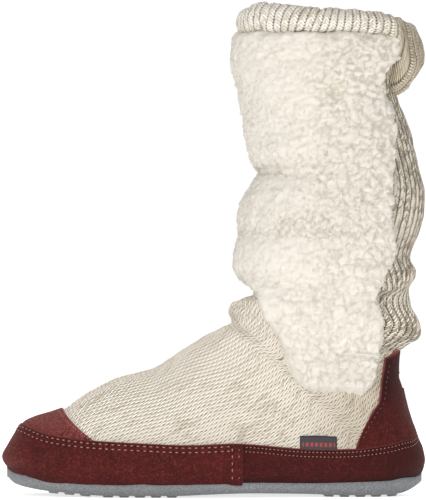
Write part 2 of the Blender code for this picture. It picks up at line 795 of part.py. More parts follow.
def cuff_form(name, spare=0.0):
    """The rib cuff, rolled outwards over the rim and hanging lower at the back, with spare room
    all round where it is the space that its neighbours leave for it."""
    rim = ring(lambda x: level(2), CUFF_COLUMNS)
    sections = []
    for i, point in enumerate(rim):
        back_share = (1 - cos(2 * pi * i / CUFF_COLUMNS)) / 2
        along = rim[(i + 1) % CUFF_COLUMNS] - rim[i - 1]
        outward = Vector((along.y, -along.x, 0)).normalized()
        low = cuff_lower_edge(back_share) - spare
        high = level(2) + CUFF_RISE * cuff_top(back_share) + spare
        thick = CUFF_THICK + spare
        seat = level(2) + 2 * GAP - spare
        section = [(row.out * thick, low + row.up * (high - low)) for row in CUFF_ROLL]
        section += [
            (-WALL * 0.75, high - (high - seat) * 0.25),
            (-WALL * 1.10, seat + (high - seat) * 0.30),
            (-WALL * 0.80, seat),
            (-WALL * 2.20, seat - 2 * GAP - WALL),
            (-WALL * 2.20, low + GAP),
        ]
        sections.append([point.xy.to_3d() + outward * out + Vector((0, 0, z)) for out, z in section])
    bm = bmesh.new()
    rows = skin(bm, [[section[k] for section in sections] for k in range(len(sections[0]))])
    for i in range(CUFF_COLUMNS):
        bm.faces.new((rows[-1][i - 1], rows[-1][i], rows[0][i], rows[0][i - 1]))
    return add_object(name, finish_mesh(bm, name))


def main():
    for old in list(bpy.data.objects):
        bpy.data.objects.remove(old)
    inner_form = as_cutter(last_form("upper_space", GAP))
    make_outsole()
    make_insole()
    make_upper()
    make_band(inner_form)
    make_toe_cap(inner_form)
    make_heel_counter(inner_form)
    make_fleece_panel(inner_form)
    make_lining_hem(inner_form)
    make_label(inner_form)
    cut(cuff_form("cuff"), inner_form, "DIFFERENCE")


main()
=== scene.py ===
"""Dresses the bootie slipper: a marled knit foot, a slouched shaft with a curly pile panel, a rolled
rib cuff, a brushed suede band, toe cap and counter with rows of stitches, and a moulded sole.

+Z is up, the toe points along -X and the outer side of the foot is at -Y. The origin is on the floor
under the heel. Lengths are in metres. Level 0 is the floor, level 1 the ankle and level 2 the rim.
"""

import logging
import math
from dataclasses import dataclass, field
from enum import Enum
from typing import Callable, Optional, Sequence

import bmesh
import bpy
import numpy as np
from mathutils import Matrix, Vector, noise


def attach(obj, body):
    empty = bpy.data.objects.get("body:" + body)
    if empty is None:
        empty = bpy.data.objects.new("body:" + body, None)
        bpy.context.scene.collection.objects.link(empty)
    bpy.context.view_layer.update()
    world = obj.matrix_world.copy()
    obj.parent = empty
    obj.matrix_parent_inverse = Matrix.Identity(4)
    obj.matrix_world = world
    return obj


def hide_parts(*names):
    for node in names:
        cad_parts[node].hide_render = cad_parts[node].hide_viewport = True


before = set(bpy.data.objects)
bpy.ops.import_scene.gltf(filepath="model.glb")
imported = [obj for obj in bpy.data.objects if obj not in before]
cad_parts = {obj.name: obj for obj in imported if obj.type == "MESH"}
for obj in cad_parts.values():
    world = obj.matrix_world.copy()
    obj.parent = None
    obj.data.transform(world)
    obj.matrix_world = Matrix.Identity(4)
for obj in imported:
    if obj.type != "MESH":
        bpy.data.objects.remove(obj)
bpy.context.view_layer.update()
log = logging.getLogger("slipper")

Array = np.ndarray
Curve = Callable[[Array], Array]
Rows = Sequence[tuple[float, ...]]
BODY = "root"
SLANT = 1.9


class Side(Enum):
    """The two sides of the foot."""

    OUTER = -1
    INNER = 1


# Curves and fields


def smooth_curve(places: Sequence[float], values: Sequence[float]) -> Curve:
    """A smooth curve through points, with no bulge past them.

    Args:
        places: where the points lie, rising.
        values: the value at each place.

    Returns:
        A function from places to values.
    """
    xs = np.asarray(places, float)
    ys = np.asarray(values, float)
    steps = np.diff(xs)
    rises = np.diff(ys) / steps
    product = rises[:-1] * rises[1:]
    total = np.where(product > 0, rises[:-1] + rises[1:], 1.0)
    inner = np.where(product > 0, 2 * product / total, 0.0)
    slopes = np.concatenate(([rises[0]], inner, [rises[-1]]))

    def value(x: Array) -> Array:
        x = np.clip(x, xs[0], xs[-1])
        i = np.clip(np.searchsorted(xs, x, side="right") - 1, 0, len(steps) - 1)
        t = (x - xs[i]) / steps[i]
        start = (1 + 2 * t) * (1 - t) ** 2 * ys[i] + t * (1 - t) ** 2 * steps[i] * slopes[i]
        end = t * t * (3 - 2 * t) * ys[i + 1] + t * t * (t - 1) * steps[i] * slopes[i + 1]
        return start + end

    return value


def column(rows: Rows, key: int, value: int) -> Curve:
    """A smooth curve from one column of a table to another."""
    return smooth_curve([r[key] for r in rows], [r[value] for r in rows])


def smooth_step(x: Array, low: float, high: float) -> Array:
    """A soft step from 0 at low to 1 at high."""
    t = np.clip((x - low) / (high - low), 0.0, 1.0)
    return t * t * (3 - 2 * t)


def bell(x: Array, width: float) -> Array:
    """A soft bump of height 1 round 0."""
    return np.exp(-((x / width) ** 2))


def noise_field(points: Array, scale: float, seed: float = 0.0, octaves: int = 2) -> Array:
    """Smooth noise between about -1 and 1 at each point.

    Args:
        points: places, of any shape with a last axis of 3.
        scale: the size of a lump.
        seed: shifts the pattern.
        octaves: how many layers of detail.

    Returns:
        The noise, with the last axis dropped.
    """
    flat = points.reshape(-1, 3) / scale + seed
    found = [noise.fractal(p, 0.7, 2.1, octaves, noise_basis="PERLIN_ORIGINAL") for p in flat.tolist()]
    return np.array(found).reshape(points.shape[:-1])


def cell_field(points: Array, scale: float, seed: float = 0.0) -> tuple[Array, Array]:
    """Distances to the nearest and second nearest of scattered points, in cells of one scale."""
    flat = points.reshape(-1, 3) / scale + seed
    found = np.array([noise.voronoi(p)[0][:2] for p in flat.tolist()])
    shape = points.shape[:-1]
    return found[:, 0].reshape(shape), found[:, 1].reshape(shape)


def polygon_depth(x: Array, z: Array, outline: Rows) -> Array:
    """How far inside an outline each place lies, negative outside it."""
    corners = np.array(outline)
    ends = np.roll(corners, -1, axis=0)
    nearest = np.full(x.shape, 1e9)
    inside = np.zeros(x.shape, bool)
    for (ax, az), (bx, bz) in zip(corners, ends):
        run, rise = bx - ax, bz - az
        t = np.clip(((x - ax) * run + (z - az) * rise) / (run * run + rise * rise), 0, 1)
        nearest = np.minimum(nearest, np.hypot(x - ax - t * run, z - az - t * rise))
        if rise:
            crosses = (az > z) != (bz > z)
            inside ^= crosses & (x < ax + run * (z - az) / rise)
    return np.where(inside, nearest, -nearest)


# The shoe's own form, in the same sizes as the solids


@dataclass(frozen=True)
class ShoeForm:
    """The knit form of the shoe, as the solids have it: sizes and tables of shares of them."""

    length: float = 0.268
    ankle_height: float = 0.1256
    shaft_rise: float = 0.1705
    ball_width: float = 0.093
    shaft_width: float = 0.086
    toe_round: float = 0.055
    heel_round: float = 0.040
    undercut: float = 0.0024
    undercut_height: float = 0.009
    wall: float = 0.0035
    gap: float = 0.0003
    sole_thick: float = 0.0073
    toe_spring: float = 0.0125
    heel_lift: float = 0.0052
    arch_lift: float = 0.0014
    tread: float = 0.0013
    band_height: float = 0.0275
    oval_power: float = 2.2
    round_power: float = 2.25
    nose_level: float = 0.194
    fold_level: float = 0.874
    shaft_starts: float = 0.500
    shaft_whole: float = 0.980
    # level, ahead
    front: Rows = (
        (0.150, 0.862), (0.194, 0.873), (0.238, 0.863), (0.297, 0.847), (0.361, 0.827), (0.394, 0.792),
        (0.417, 0.754), (0.433, 0.734), (0.487, 0.700), (0.528, 0.669), (0.582, 0.618), (0.615, 0.569),
        (0.643, 0.521), (0.684, 0.489), (0.736, 0.453), (0.781, 0.419), (0.835, 0.373), (0.874, 0.344),
        (0.926, 0.348), (0.962, 0.343), (0.983, 0.336), (0.998, 0.312), (1.022, 0.216), (1.060, 0.248),
        (1.088, 0.286), (1.123, 0.302), (1.164, 0.298), (1.234, 0.288), (1.281, 0.292), (1.337, 0.286),
        (1.400, 0.263), (1.449, 0.244), (1.491, 0.246), (1.542, 0.266), (1.614, 0.276), (1.673, 0.281),
        (1.784, 0.293), (1.877, 0.306), (1.950, 0.303), (2.000, 0.291),
    )
    # level, behind
    back: Rows = (
        (0.105, 0.101), (0.142, 0.108), (0.181, 0.111), (0.236, 0.106), (0.283, 0.097), (0.328, 0.090),
        (0.380, 0.080), (0.437, 0.071), (0.546, 0.058), (0.603, 0.051), (0.693, 0.053), (0.726, 0.061),
        (0.750, 0.082), (0.782, 0.104), (0.834, 0.114), (0.894, 0.106), (0.966, 0.090), (1.012, 0.088),
        (1.097, 0.096), (1.141, 0.091), (1.181, 0.095), (1.239, 0.110), (1.312, 0.122), (1.380, 0.124),
        (1.468, 0.113), (1.566, 0.098), (1.640, 0.085), (1.727, 0.063), (1.762, 0.057), (1.865, 0.064),
        (2.000, 0.082),
    )
    # ahead, width, inward
    stations: Rows = (
        (-0.150, 0.720, 0.000), (0.037, 0.731, 0.000), (0.149, 0.748, -0.015), (0.261, 0.806, -0.032),
        (0.373, 0.903, -0.030), (0.466, 0.978, -0.014), (0.552, 1.000, 0.008), (0.616, 0.985, 0.026),
        (0.690, 0.940, 0.044), (0.765, 0.885, 0.060), (0.821, 0.850, 0.070), (0.900, 0.830, 0.076),
    )
    # level, width
    girth: Rows = (
        (0.450, 0.880), (0.720, 0.820), (0.800, 0.910), (0.860, 0.940), (0.950, 0.915), (1.020, 0.905),
        (1.100, 0.985), (1.170, 1.000), (1.240, 0.955), (1.350, 1.020), (1.470, 0.940), (1.570, 1.000),
        (1.700, 1.015), (1.880, 1.000), (2.000, 0.975),
    )
    heel_taper: Rows = ((0.200, 1.000), (0.400, 0.940), (0.700, 0.900))
    # ahead, spring, heel, arch, thick
    sole: Rows = (
        (-0.110, 0.000, 1.500, 0.000, 0.660), (-0.093, 0.000, 0.950, 0.000, 0.820),
        (-0.078, 0.000, 0.550, 0.000, 1.090), (-0.059, 0.000, 0.210, 0.000, 1.280),
        (-0.030, 0.000, 0.050, 0.000, 1.200), (0.060, 0.000, 0.000, 0.000, 1.120),
        (0.180, 0.000, 0.000, 0.700, 0.930), (0.300, 0.000, 0.000, 1.000, 0.930),
        (0.400, 0.000, 0.000, 0.500, 0.970), (0.470, 0.000, 0.000, 0.000, 1.020),
        (0.640, 0.000, 0.000, 0.000, 1.020), (0.700, 0.090, 0.000, 0.000, 0.920),
        (0.770, 0.200, 0.000, 0.000, 0.900), (0.820, 0.350, 0.000, 0.000, 1.030),
        (0.850, 0.520, 0.000, 0.000, 1.080), (0.868, 0.800, 0.000, 0.000, 0.950),
    )
    # ahead, height
    band: Rows = (
        (-0.125, 1.020), (-0.102, 1.000), (-0.078, 0.870), (-0.028, 0.833), (0.010, 0.795),
        (0.060, 0.765), (0.172, 0.790), (0.300, 0.880), (0.343, 0.900), (0.416, 0.885),
        (0.580, 0.937), (0.666, 0.975), (0.750, 1.010), (0.790, 1.050), (0.836, 1.110),
        (0.880, 1.140),
    )

    def __post_init__(self) -> None:
        """Makes the curves that the tables stand for."""
        put = object.__setattr__
        size = self.length
        put(self, "front_curve", self.over_levels(self.front, -size))
        put(self, "back_curve", self.over_levels(self.back, size))
        put(self, "foot_width", column(self.stations, 0, 1))
        put(self, "foot_inward", column(self.stations, 0, 2))
        put(self, "girth_curve", self.over_levels(self.girth))
        put(self, "taper_curve", self.over_levels(self.heel_taper))
        put(self, "spring_curve", column(self.sole, 0, 1))
        put(self, "heel_curve", column(self.sole, 0, 2))
        put(self, "arch_curve", column(self.sole, 0, 3))
        put(self, "thick_curve", column(self.sole, 0, 4))
        put(self, "band_curve", column(self.band, 0, 1))
        heights = np.linspace(self.level(self.nose_level), self.level(self.fold_level), 300)
        put(self, "ridge_heights", heights)
        put(self, "ridge_places", self.front_curve(heights))

    def over_levels(self, rows: Rows, size: float = 1.0) -> Curve:
        """A smooth curve over heights, from a table of levels and shares of a size."""
        return smooth_curve([self.level(r[0]) for r in rows], [size * r[1] for r in rows])

    def level(self, number: float) -> float:
        """The height of a level."""
        if number <= 1:
            return self.ankle_height * number
        return self.ankle_height + self.shaft_rise * (number - 1)

    def instep_top(self, x: Array) -> Array:
        """The height of the instep's ridge over places along the foot."""
        beyond = self.ridge_heights[-1] + 1.6 * (x - self.ridge_places[-1])
        along = np.interp(x, self.ridge_places, self.ridge_heights)
        return np.where(x > self.ridge_places[-1], beyond, along)

    def sole_bottom(self, x: Array) -> Array:
        """The height of the sole's underside between its bars."""
        ahead = -np.asarray(x) / self.length
        lift = self.toe_spring * self.spring_curve(ahead) + self.heel_lift * self.heel_curve(ahead)
        return self.tread + lift + self.arch_lift * self.arch_curve(ahead)

    def feather(self, x: Array) -> Array:
        """The height of the sole's top edge."""
        return self.sole_bottom(x) + self.sole_thick * self.thick_curve(-np.asarray(x) / self.length)

    def band_top(self, x: Array) -> Array:
        """The height of the suede band's top edge."""
        return self.feather(x) + self.band_height * self.band_curve(-np.asarray(x) / self.length)

    def ends(self, height: Curve) -> tuple[float, float]:
        """Where a line of given heights meets the form's front and back."""
        x = np.linspace(-0.25, 0.05, 6000)
        z = height(x)
        return float(x[np.argmax(x >= self.front_curve(z))]), float(x[np.argmax(x >= self.back_curve(z))])

    def blend(self, z: Array) -> Array:
        """How far the form has turned from foot, 0, to shaft, 1."""
        return smooth_step(z, self.level(self.shaft_starts), self.level(self.shaft_whole))

    def centre(self, x: Array, z: Array) -> Array:
        """How far the middle of a section lies towards the inner side."""
        return self.ball_width * self.foot_inward(-x / self.length) * (1 - self.blend(z))

    def round_end(self, share: Array) -> Array:
        """The width at a share of the way in from a rounded end."""
        inside = np.clip(share, 0.0, 1.0)
        return (1 - (1 - inside) ** self.round_power) ** (1 / self.round_power)

    def half_width(self, x: Array, z: Array) -> Array:
        """Half the width of the knit form at places along the foot and heights."""
        low, high = self.front_curve(z), self.back_curve(z)
        inside = (x > low) & (x < high)
        nose = self.level(self.nose_level)
        tip = np.where(z < nose, low, float(self.front_curve(np.array(nose))))
        ends = self.round_end((x - tip) / self.toe_round) * self.round_end((high - x) / self.heel_round)
        share_up = np.maximum(z - nose, 0.0) / np.maximum(self.instep_top(x) - nose, self.gap)
        dome = np.sqrt(np.maximum(1 - share_up**2, 0.0))
        under = self.undercut * np.maximum(1 - (z - self.feather(x)) / self.undercut_height, 0.0) ** 2
        taper = self.taper_curve(z)
        foot = self.ball_width / 2 * self.foot_width(-x / self.length) * ends * dome * taper - under
        along = np.clip(2 * (x - low) / (high - low) - 1, -1, 1)
        oval = (1 - np.abs(along) ** self.oval_power) ** (1 / self.oval_power)
        shaft = self.shaft_width / 2 * self.girth_curve(z) * oval
        mix = self.blend(z)
        return np.where(inside, np.maximum((1 - mix) * foot + mix * shaft, 0.0), 0.0)

    def point(self, x: Array, z: Array, side: float) -> Array:
        """Places on the form's surface, on one side of the foot."""
        x, z = np.broadcast_arrays(np.asarray(x, float), np.asarray(z, float))
        y = self.centre(x, z) + side * self.half_width(x, z)
        return np.stack([x, y, z], axis=-1)

    def outward(self, x: Array, z: Array, side: float, reach: float = 0.0008) -> Array:
        """Outward directions of the form's surface, away from its front and back lines."""
        ahead = self.point(x + reach, z, side) - self.point(x - reach, z, side)
        up = self.point(x, z + reach, side) - self.point(x, z - reach, side)
        found = np.cross(ahead, up) * -side
        return found / np.maximum(np.linalg.norm(found, axis=-1, keepdims=True), 1e-12)


FORM = ShoeForm()

# The form under the pile away from its front line: the folds there are softer
SOFT_FRONT = tuple(r for r in FORM.front if not 0.93 < r[0] < 1.10) + (
    (0.966, 0.338), (1.010, 0.322), (1.062, 0.304), (1.090, 0.300),
)
SOFT_GIRTH = (
    (0.450, 0.880), (0.720, 0.875), (0.800, 0.900), (0.860, 0.920), (0.950, 0.930), (1.020, 0.940),
    (1.100, 0.955), (1.240, 0.975), (1.470, 0.985), (1.570, 1.000), (1.700, 1.010), (1.880, 1.000),
    (2.000, 0.975),
)
SOFT_FORM = ShoeForm(front=tuple(sorted(SOFT_FRONT)), girth=SOFT_GIRTH)


# Sheets: a grid operator's mesh set on computed places


def eased(count: int, start: float = 0.0) -> Array:
    """Shares from 0 to 1 that lie closer together at both ends."""
    return (1 - np.cos(np.linspace(start, math.pi - start, count))) / 2


def run_along(lines: Array) -> Array:
    """How far along its own line each place of many lines lies, given as (line, point, 3)."""
    spans = np.linalg.norm(np.diff(lines, axis=1), axis=-1)
    return np.concatenate([np.zeros((len(lines), 1)), np.cumsum(spans, axis=1)], axis=1)


def places_at(line: Array, run: Array, wanted: Array) -> Array:
    """Places at set distances along one line, held at its far end past its length."""
    return np.stack([np.interp(wanted, run, line[:, k]) for k in range(3)], axis=-1)


def at_distances(lines: Array, distances: Array) -> Array:
    """Places at set distances along each of many lines."""
    return np.array([places_at(line, run, distances) for line, run in zip(lines, run_along(lines))])


def even_spread(lines: Array, count: int) -> Array:
    """Spreads a count of points evenly along each of many lines."""
    made = [
        places_at(line, run, np.linspace(0, run[-1], count)) for line, run in zip(lines, run_along(lines))
    ]
    return np.array(made)


def even_line(line: Array, count: int) -> Array:
    """Spreads a count of points evenly along one line."""
    return even_spread(line[None], count)[0]


def add_object(name: str, data: bpy.types.ID) -> bpy.types.Object:
    """Adds an object to the scene."""
    made = bpy.data.objects.new(name, data)
    bpy.context.scene.collection.objects.link(made)
    return made


def sheet_normals(places: Array, wrap: bool = False) -> Array:
    """Directions across a grid of places, to the left of its columns as its rows rise.

    Args:
        places: a grid of places, as (row, column, 3).
        wrap: whether the first and last columns are the same line.

    Returns:
        A unit direction for each place.
    """
    if wrap:
        wide = np.concatenate([places[:, -2:-1], places, places[:, 1:2]], axis=1)
        across = (wide[:, 2:] - wide[:, :-2]) / 2
    else:
        across = np.gradient(places, axis=1)
    along = np.gradient(places, axis=0)
    found = np.cross(across, along)
    size = np.linalg.norm(found, axis=-1, keepdims=True)
    return found / np.maximum(size, 1e-15)


def sheet(
    name: str,
    places: Array,
    stitches: Optional[Array] = None,
    values: Optional[dict[str, Array]] = None,
    keep: Optional[Array] = None,
    keep_faces: Optional[Callable[[Array, Array], Array]] = None,
    merge: float = 0.0,
) -> bpy.types.Object:
    """A sheet of quads from the grid operator, laid on a grid of places.

    Args:
        name: the piece's name.
        places: the grid of places, as (row, column, 3), counter-clockwise seen from outside.
        stitches: the surface's own pattern coordinates, as (row, column, 2).
        values: named numbers for each place, for its finish.
        keep: which places stay.
        keep_faces: which faces stay, from the column and row of each.
        merge: the distance within which seams are closed, or 0.

    Returns:
        The new piece, not yet dressed.
    """
    rows, columns = places.shape[:2]
    bm = bmesh.new()
    bmesh.ops.create_grid(bm, x_segments=columns - 1, y_segments=rows - 1, size=0.5)
    if keep_faces is not None:
        middles = np.array([f.calc_center_median()[:2] for f in bm.faces]) + 0.5
        i = np.floor(middles[:, 0] * (columns - 1)).astype(int)
        j = np.floor(middles[:, 1] * (rows - 1)).astype(int)
        stay = keep_faces(i, j)
        bmesh.ops.delete(bm, geom=[f for f, s in zip(list(bm.faces), stay) if not s], context="FACES_ONLY")
        bmesh.ops.delete(bm, geom=[e for e in bm.edges if e.is_wire], context="EDGES_FACES")
    if keep is not None:
        verts = list(bm.verts)
        corners = np.array([v.co[:2] for v in verts]) + 0.5
        i = np.rint(corners[:, 0] * (columns - 1)).astype(int)
        j = np.rint(corners[:, 1] * (rows - 1)).astype(int)
        bmesh.ops.delete(bm, geom=[v for v, s in zip(verts, keep[j, i]) if not s], context="VERTS")
    mesh = bpy.data.meshes.new(name)
    bm.to_mesh(mesh)
    bm.free()
    flat = np.empty(len(mesh.vertices) * 3)
    mesh.vertices.foreach_get("co", flat)
    flat = flat.reshape(-1, 3) + 0.5
    i = np.rint(flat[:, 0] * (columns - 1)).astype(int)
    j = np.rint(flat[:, 1] * (rows - 1)).astype(int)
    mesh.vertices.foreach_set("co", np.ascontiguousarray(places[j, i]).ravel())
    for key, grid in (values or {}).items():
        attribute = mesh.attributes.new(key, "FLOAT", "POINT")
        attribute.data.foreach_set("value", grid[j, i].astype(np.float32))
    if stitches is not None:
        layer = mesh.uv_layers.new(name="stitches")
        corner = np.empty(len(mesh.loops), np.int32)
        mesh.loops.foreach_get("vertex_index", corner)
        layer.data.foreach_set("uv", stitches[j, i][corner].astype(np.float32).ravel())
    if merge:
        bm = bmesh.new()
        bm.from_mesh(mesh)
        bmesh.ops.remove_doubles(bm, verts=bm.verts, dist=merge)
        bmesh.ops.dissolve_degenerate(bm, dist=1e-7, edges=bm.edges)
        bm.to_mesh(mesh)
        bm.free()
    mesh.update()
    mesh.shade_smooth()
    return add_object(name, mesh)


def dress(
    piece: bpy.types.Object, material: bpy.types.Material, slot: str, *stands_for: str
) -> bpy.types.Object:
    """Gives a piece its finish and its body, and hides the solids it stands for."""
    piece.data.materials.clear()
    piece.data.materials.append(material)
    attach(piece, BODY)
    if stands_for:
        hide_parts(*stands_for)
    log.info("%s: %d faces", piece.name, len(piece.data.polygons))
    return piece


# Finishes


class Net:
    """A material's nodes, wired by short calls."""

    def __init__(self, name: str) -> None:
        """Starts a material with a Principled surface."""
        self.material = bpy.data.materials.new(name)
        self.material.use_nodes = True
        self.tree = self.material.node_tree
        self.surface = self.tree.nodes["Principled BSDF"]

    def node(self, kind: str, inputs: Optional[dict] = None, **settings) -> bpy.types.Node:
        """Adds a node, with its settings and inputs: a value, a colour or another node's output."""
        made = self.tree.nodes.new(kind)
        for key, value in settings.items():
            setattr(made, key, value)
        for key, value in (inputs or {}).items():
            self.join(value, made.inputs[key])
        return made

    def join(self, value, socket: bpy.types.NodeSocket) -> None:
        """Sets or links one socket."""
        if isinstance(value, bpy.types.NodeSocket):
            self.tree.links.new(value, socket)
        elif isinstance(value, tuple) and len(value) == 3 and socket.type == "RGBA":
            socket.default_value = (*value, 1.0)
        else:
            socket.default_value = value

    def set(self, **inputs) -> None:
        """Sets the surface's inputs, named with _ for spaces."""
        for key, value in inputs.items():
            self.join(value, self.surface.inputs[key.replace("_", " ")])

    def math(self, operation: str, *values, clamp: bool = False):
        """One step of arithmetic."""
        inputs = dict(enumerate(values))
        return self.node("ShaderNodeMath", inputs, operation=operation, use_clamp=clamp).outputs[0]

    def times(self, first, second, clamp: bool = False):
        """The product of two numbers."""
        return self.math("MULTIPLY", first, second, clamp=clamp)

    def plus(self, first, second):
        """The sum of two numbers."""
        return self.math("ADD", first, second)

    def minus(self, first, second):
        """The first number less the second."""
        return self.math("SUBTRACT", first, second)

    def size(self, value):
        """A number without its sign."""
        return self.math("ABSOLUTE", value)

    def height(self):
        """The height above the floor."""
        return self.node("ShaderNodeSeparateXYZ", {"Vector": self.place()}).outputs["Z"]

    def draw(self, where):
        """A random number from 0 to 1 for each cell of a pattern."""
        return self.node("ShaderNodeTexWhiteNoise", {"Vector": where}, noise_dimensions="2D").outputs["Value"]

    def mix(self, factor, first, second, blend: str = "MIX"):
        """Mixes two colours."""
        made = self.node("ShaderNodeMix", data_type="RGBA", blend_type=blend, clamp_factor=True)
        self.join(factor, made.inputs[0])
        self.join(first, made.inputs[6])
        self.join(second, made.inputs[7])
        return made.outputs[2]

    def place(self):
        """The piece's own coordinates, in metres."""
        return self.node("ShaderNodeTexCoord").outputs["Object"]

    def noise(
        self, scale: float, detail: float = 3.0, vector=None, roughness: float = 0.5, distortion: float = 0.0
    ):
        """Smooth noise from 0 to 1."""
        inputs = {"Scale": scale, "Detail": detail, "Roughness": roughness, "Distortion": distortion}
        inputs["Vector"] = vector if vector is not None else self.place()
        return self.node("ShaderNodeTexNoise", inputs).outputs["Fac"]

    def step(self, value, low: float, high: float):
        """A soft step from 0 to 1."""
        inputs = {"Value": value, "From Min": low, "From Max": high}
        return self.node("ShaderNodeMapRange", inputs, interpolation_type="SMOOTHSTEP").outputs["Result"]

    def value(self, name: str):
        """A named number of the piece's mesh."""
        return self.node("ShaderNodeAttribute", attribute_name=name).outputs["Fac"]

    def stitches(self):
        """The piece's pattern coordinates, across and along."""
        where = self.node("ShaderNodeUVMap", uv_map="stitches").outputs["UV"]
        parts = self.node("ShaderNodeSeparateXYZ", {"Vector": where})
        return parts.outputs["X"], parts.outputs["Y"]

    def vector(self, x, y, z=0.0):
        """Three numbers as a vector."""
        return self.node("ShaderNodeCombineXYZ", {"X": x, "Y": y, "Z": z}).outputs["Vector"]

    def bump(self, height, distance: float, strength: float = 1.0, normal=None):
        """Relief from a height."""
        inputs = {"Height": height, "Distance": distance, "Strength": strength}
        if normal is not None:
            inputs["Normal"] = normal
        return self.node("ShaderNodeBump", inputs).outputs["Normal"]


@dataclass(frozen=True)
class KnitFinish:
    """Marled wool: leaning strands, in chevrons or, when twisted, all one way, with painted shade in the
    gaps, in small dark pits and in the rib troughs.
    """

    name: str
    light: tuple[float, float, float] = (1.0, 0.95, 0.86)
    marl: tuple[float, float, float] = (0.78, 0.705, 0.59)
    # Painted shade: shade fills the gaps between strands, dark fills the pits and rib troughs, and dim
    # darkens wherever the piece's own value asks.
    shade: tuple[float, float, float] = (0.36, 0.30, 0.22)
    dark: tuple[float, float, float] = (0.07, 0.05, 0.035)
    trough: float = 0.0
    twisted: bool = False
    dim: tuple[float, float, float] = (0.60, 0.55, 0.46)
    marl_share: float = 0.36
    gap_width: float = 0.36
    hollow_from: float = 0.50
    pit_share: float = 0.60
    slant: float = SLANT
    rib_share: float = 1.0
    jitter: float = 0.14
    relief: float = 0.0012

    def make(self) -> bpy.types.Material:
        """Builds the material from the piece's pattern coordinates, one unit to a stitch."""
        net = Net(self.name)
        across, along = net.stitches()
        wander = net.minus(net.noise(260, 2), 0.5)
        drift = net.minus(net.noise(90, 2), 0.5)
        across = net.plus(across, net.times(wander, self.jitter))
        along = net.plus(along, net.times(drift, 1.6 * self.jitter))
        middle = net.minus(net.math("FRACT", across), 0.5)
        reach = net.math("DIVIDE", net.times(net.size(middle), 2.0), self.rib_share)
        in_rib = net.step(reach, 1.10, 0.96)
        off_leg = net.size(net.minus(net.math("MINIMUM", reach, 1.0), 0.5))
        arch = net.math("POWER", net.times(off_leg, 2.0), 2.4)
        leg = net.minus(1.0, net.times(arch, 0.60))
        lean = reach
        if self.twisted:
            doubled = net.times(across, 2.0)
            stagger = net.times(net.math("FLOOR", doubled), 0.5)
            lean = net.minus(1.0, net.math("FRACT", doubled))
            along = net.plus(along, stagger)
        phase = net.plus(along, net.times(lean, self.slant))
        between = net.step(self.hump(net, phase), 0.0, 2.0 * self.gap_width)
        purl = net.times(self.hump(net, along), 0.42)
        height = net.times(leg, between)
        height = net.plus(net.times(height, in_rib),
                          net.times(purl, net.minus(1.0, in_rib)))
        half = net.math("FLOOR", net.times(across, 2.0))
        which = net.vector(half, net.math("FLOOR", phase))
        lot = net.draw(which)
        grain = net.vector(net.times(across, 9.0), net.times(phase, 2.2))
        strand = net.noise(1.0, 2, grain)
        patch = net.noise(45, 2)
        tone = net.plus(net.times(lot, 0.40), net.times(strand, 0.60))
        tone = net.plus(tone, net.times(net.minus(patch, 0.5), 0.5))
        marled = net.step(tone, self.marl_share + 0.08, self.marl_share - 0.08)
        colour = net.mix(marled, self.light, self.marl)
        # Painted shade: the shade colour fills the low gaps between strands.
        colour = net.mix(net.step(height, self.hollow_from, 0.06), colour, self.shade)
        # Painted shade: the dark colour fills chosen pits between stitches.
        where = net.vector(half, net.math("FLOOR", net.plus(phase, 0.5)))
        chosen = net.step(net.draw(where), self.pit_share, self.pit_share - 0.1)
        pit_shade = net.times(net.step(height, 0.48, 0.20), chosen)
        pit_shade = net.times(pit_shade, net.step(reach, 0.45, 0.80))
        colour = net.mix(net.times(pit_shade, 0.92), colour, self.dark)
        # Painted shade: dotted dark colour fills the troughs between ribs.
        dots = net.minus(1.0, net.times(self.hump(net, along), 0.50))
        trough_shade = net.times(net.times(net.step(reach, 0.74, 1.04), dots), self.trough)
        colour = net.mix(trough_shade, colour, self.dark)
        # Painted shade: the dim colour darkens the knit by the piece's own value.
        dim = net.mix(1.0, colour, self.dim, "MULTIPLY")
        colour = net.mix(net.value("painted_shade"), colour, dim)
        relief = net.plus(height, net.times(net.noise(2600, 2), 0.25))
        net.set(
            Base_Color=colour,
            Roughness=0.95,
            Normal=net.bump(relief, self.relief),
            Sheen_Weight=0.12,
            Sheen_Roughness=0.6,
        )
        net.set(**{"Specular_IOR_Level": 0.12})
        return net.material

    def hump(self, net: Net, phase) -> bpy.types.NodeSocket:
        """A hump of height 1 over each whole step of a phase, 0 between them."""
        part = net.math("FRACT", phase)
        return net.times(net.times(part, net.minus(1.0, part)), 4.0)


@dataclass(frozen=True)
class PileFinish:
    """Curly cream pile: bright lumps, soft warm painted shade in the hollows, and painted light low down."""

    name: str
    light: tuple[float, float, float] = (0.655, 0.614, 0.548)
    hollow: tuple[float, float, float] = (0.50, 0.445, 0.365)
    warm: tuple[float, float, float] = (0.60, 0.54, 0.45)
    low: tuple[float, float, float] = (0.80, 0.755, 0.68)
    low_heights: tuple[float, float] = (0.190, 0.115)

    def make(self) -> bpy.types.Material:
        """Builds the material from the piece's curl value, 0 in the hollows, where shade is painted."""
        net = Net(self.name)
        curl = net.value("curl")
        fuzz = net.times(net.minus(net.noise(300, 3), 0.5), 0.5)
        tone = net.plus(net.step(curl, 0.05, 0.75), fuzz)
        # Painted shade: the hollow colour fills the crevices between curls.
        colour = net.mix(net.step(tone, 0.0, 0.8), self.hollow, self.light)
        warm = net.step(net.noise(28, 2), 0.45, 0.80)
        colour = net.mix(net.times(warm, 0.18), colour, self.warm)
        # Painted light: the pile is lighter low down.
        low_down = net.times(net.step(net.height(), *self.low_heights), 0.35)
        colour = net.mix(low_down, colour, self.low)
        curls = net.times(net.noise(520, 2, distortion=1.2), 0.9)
        wool = net.plus(net.noise(1500, 3, roughness=0.6, distortion=0.8), curls)
        net.set(
            Base_Color=colour,
            Roughness=1.0,
            Normal=net.bump(wool, 0.0006, 0.7),
            Sheen_Weight=0.25,
            Sheen_Roughness=0.7,
        )
        net.set(**{"Specular_IOR_Level": 0.1})
        return net.material


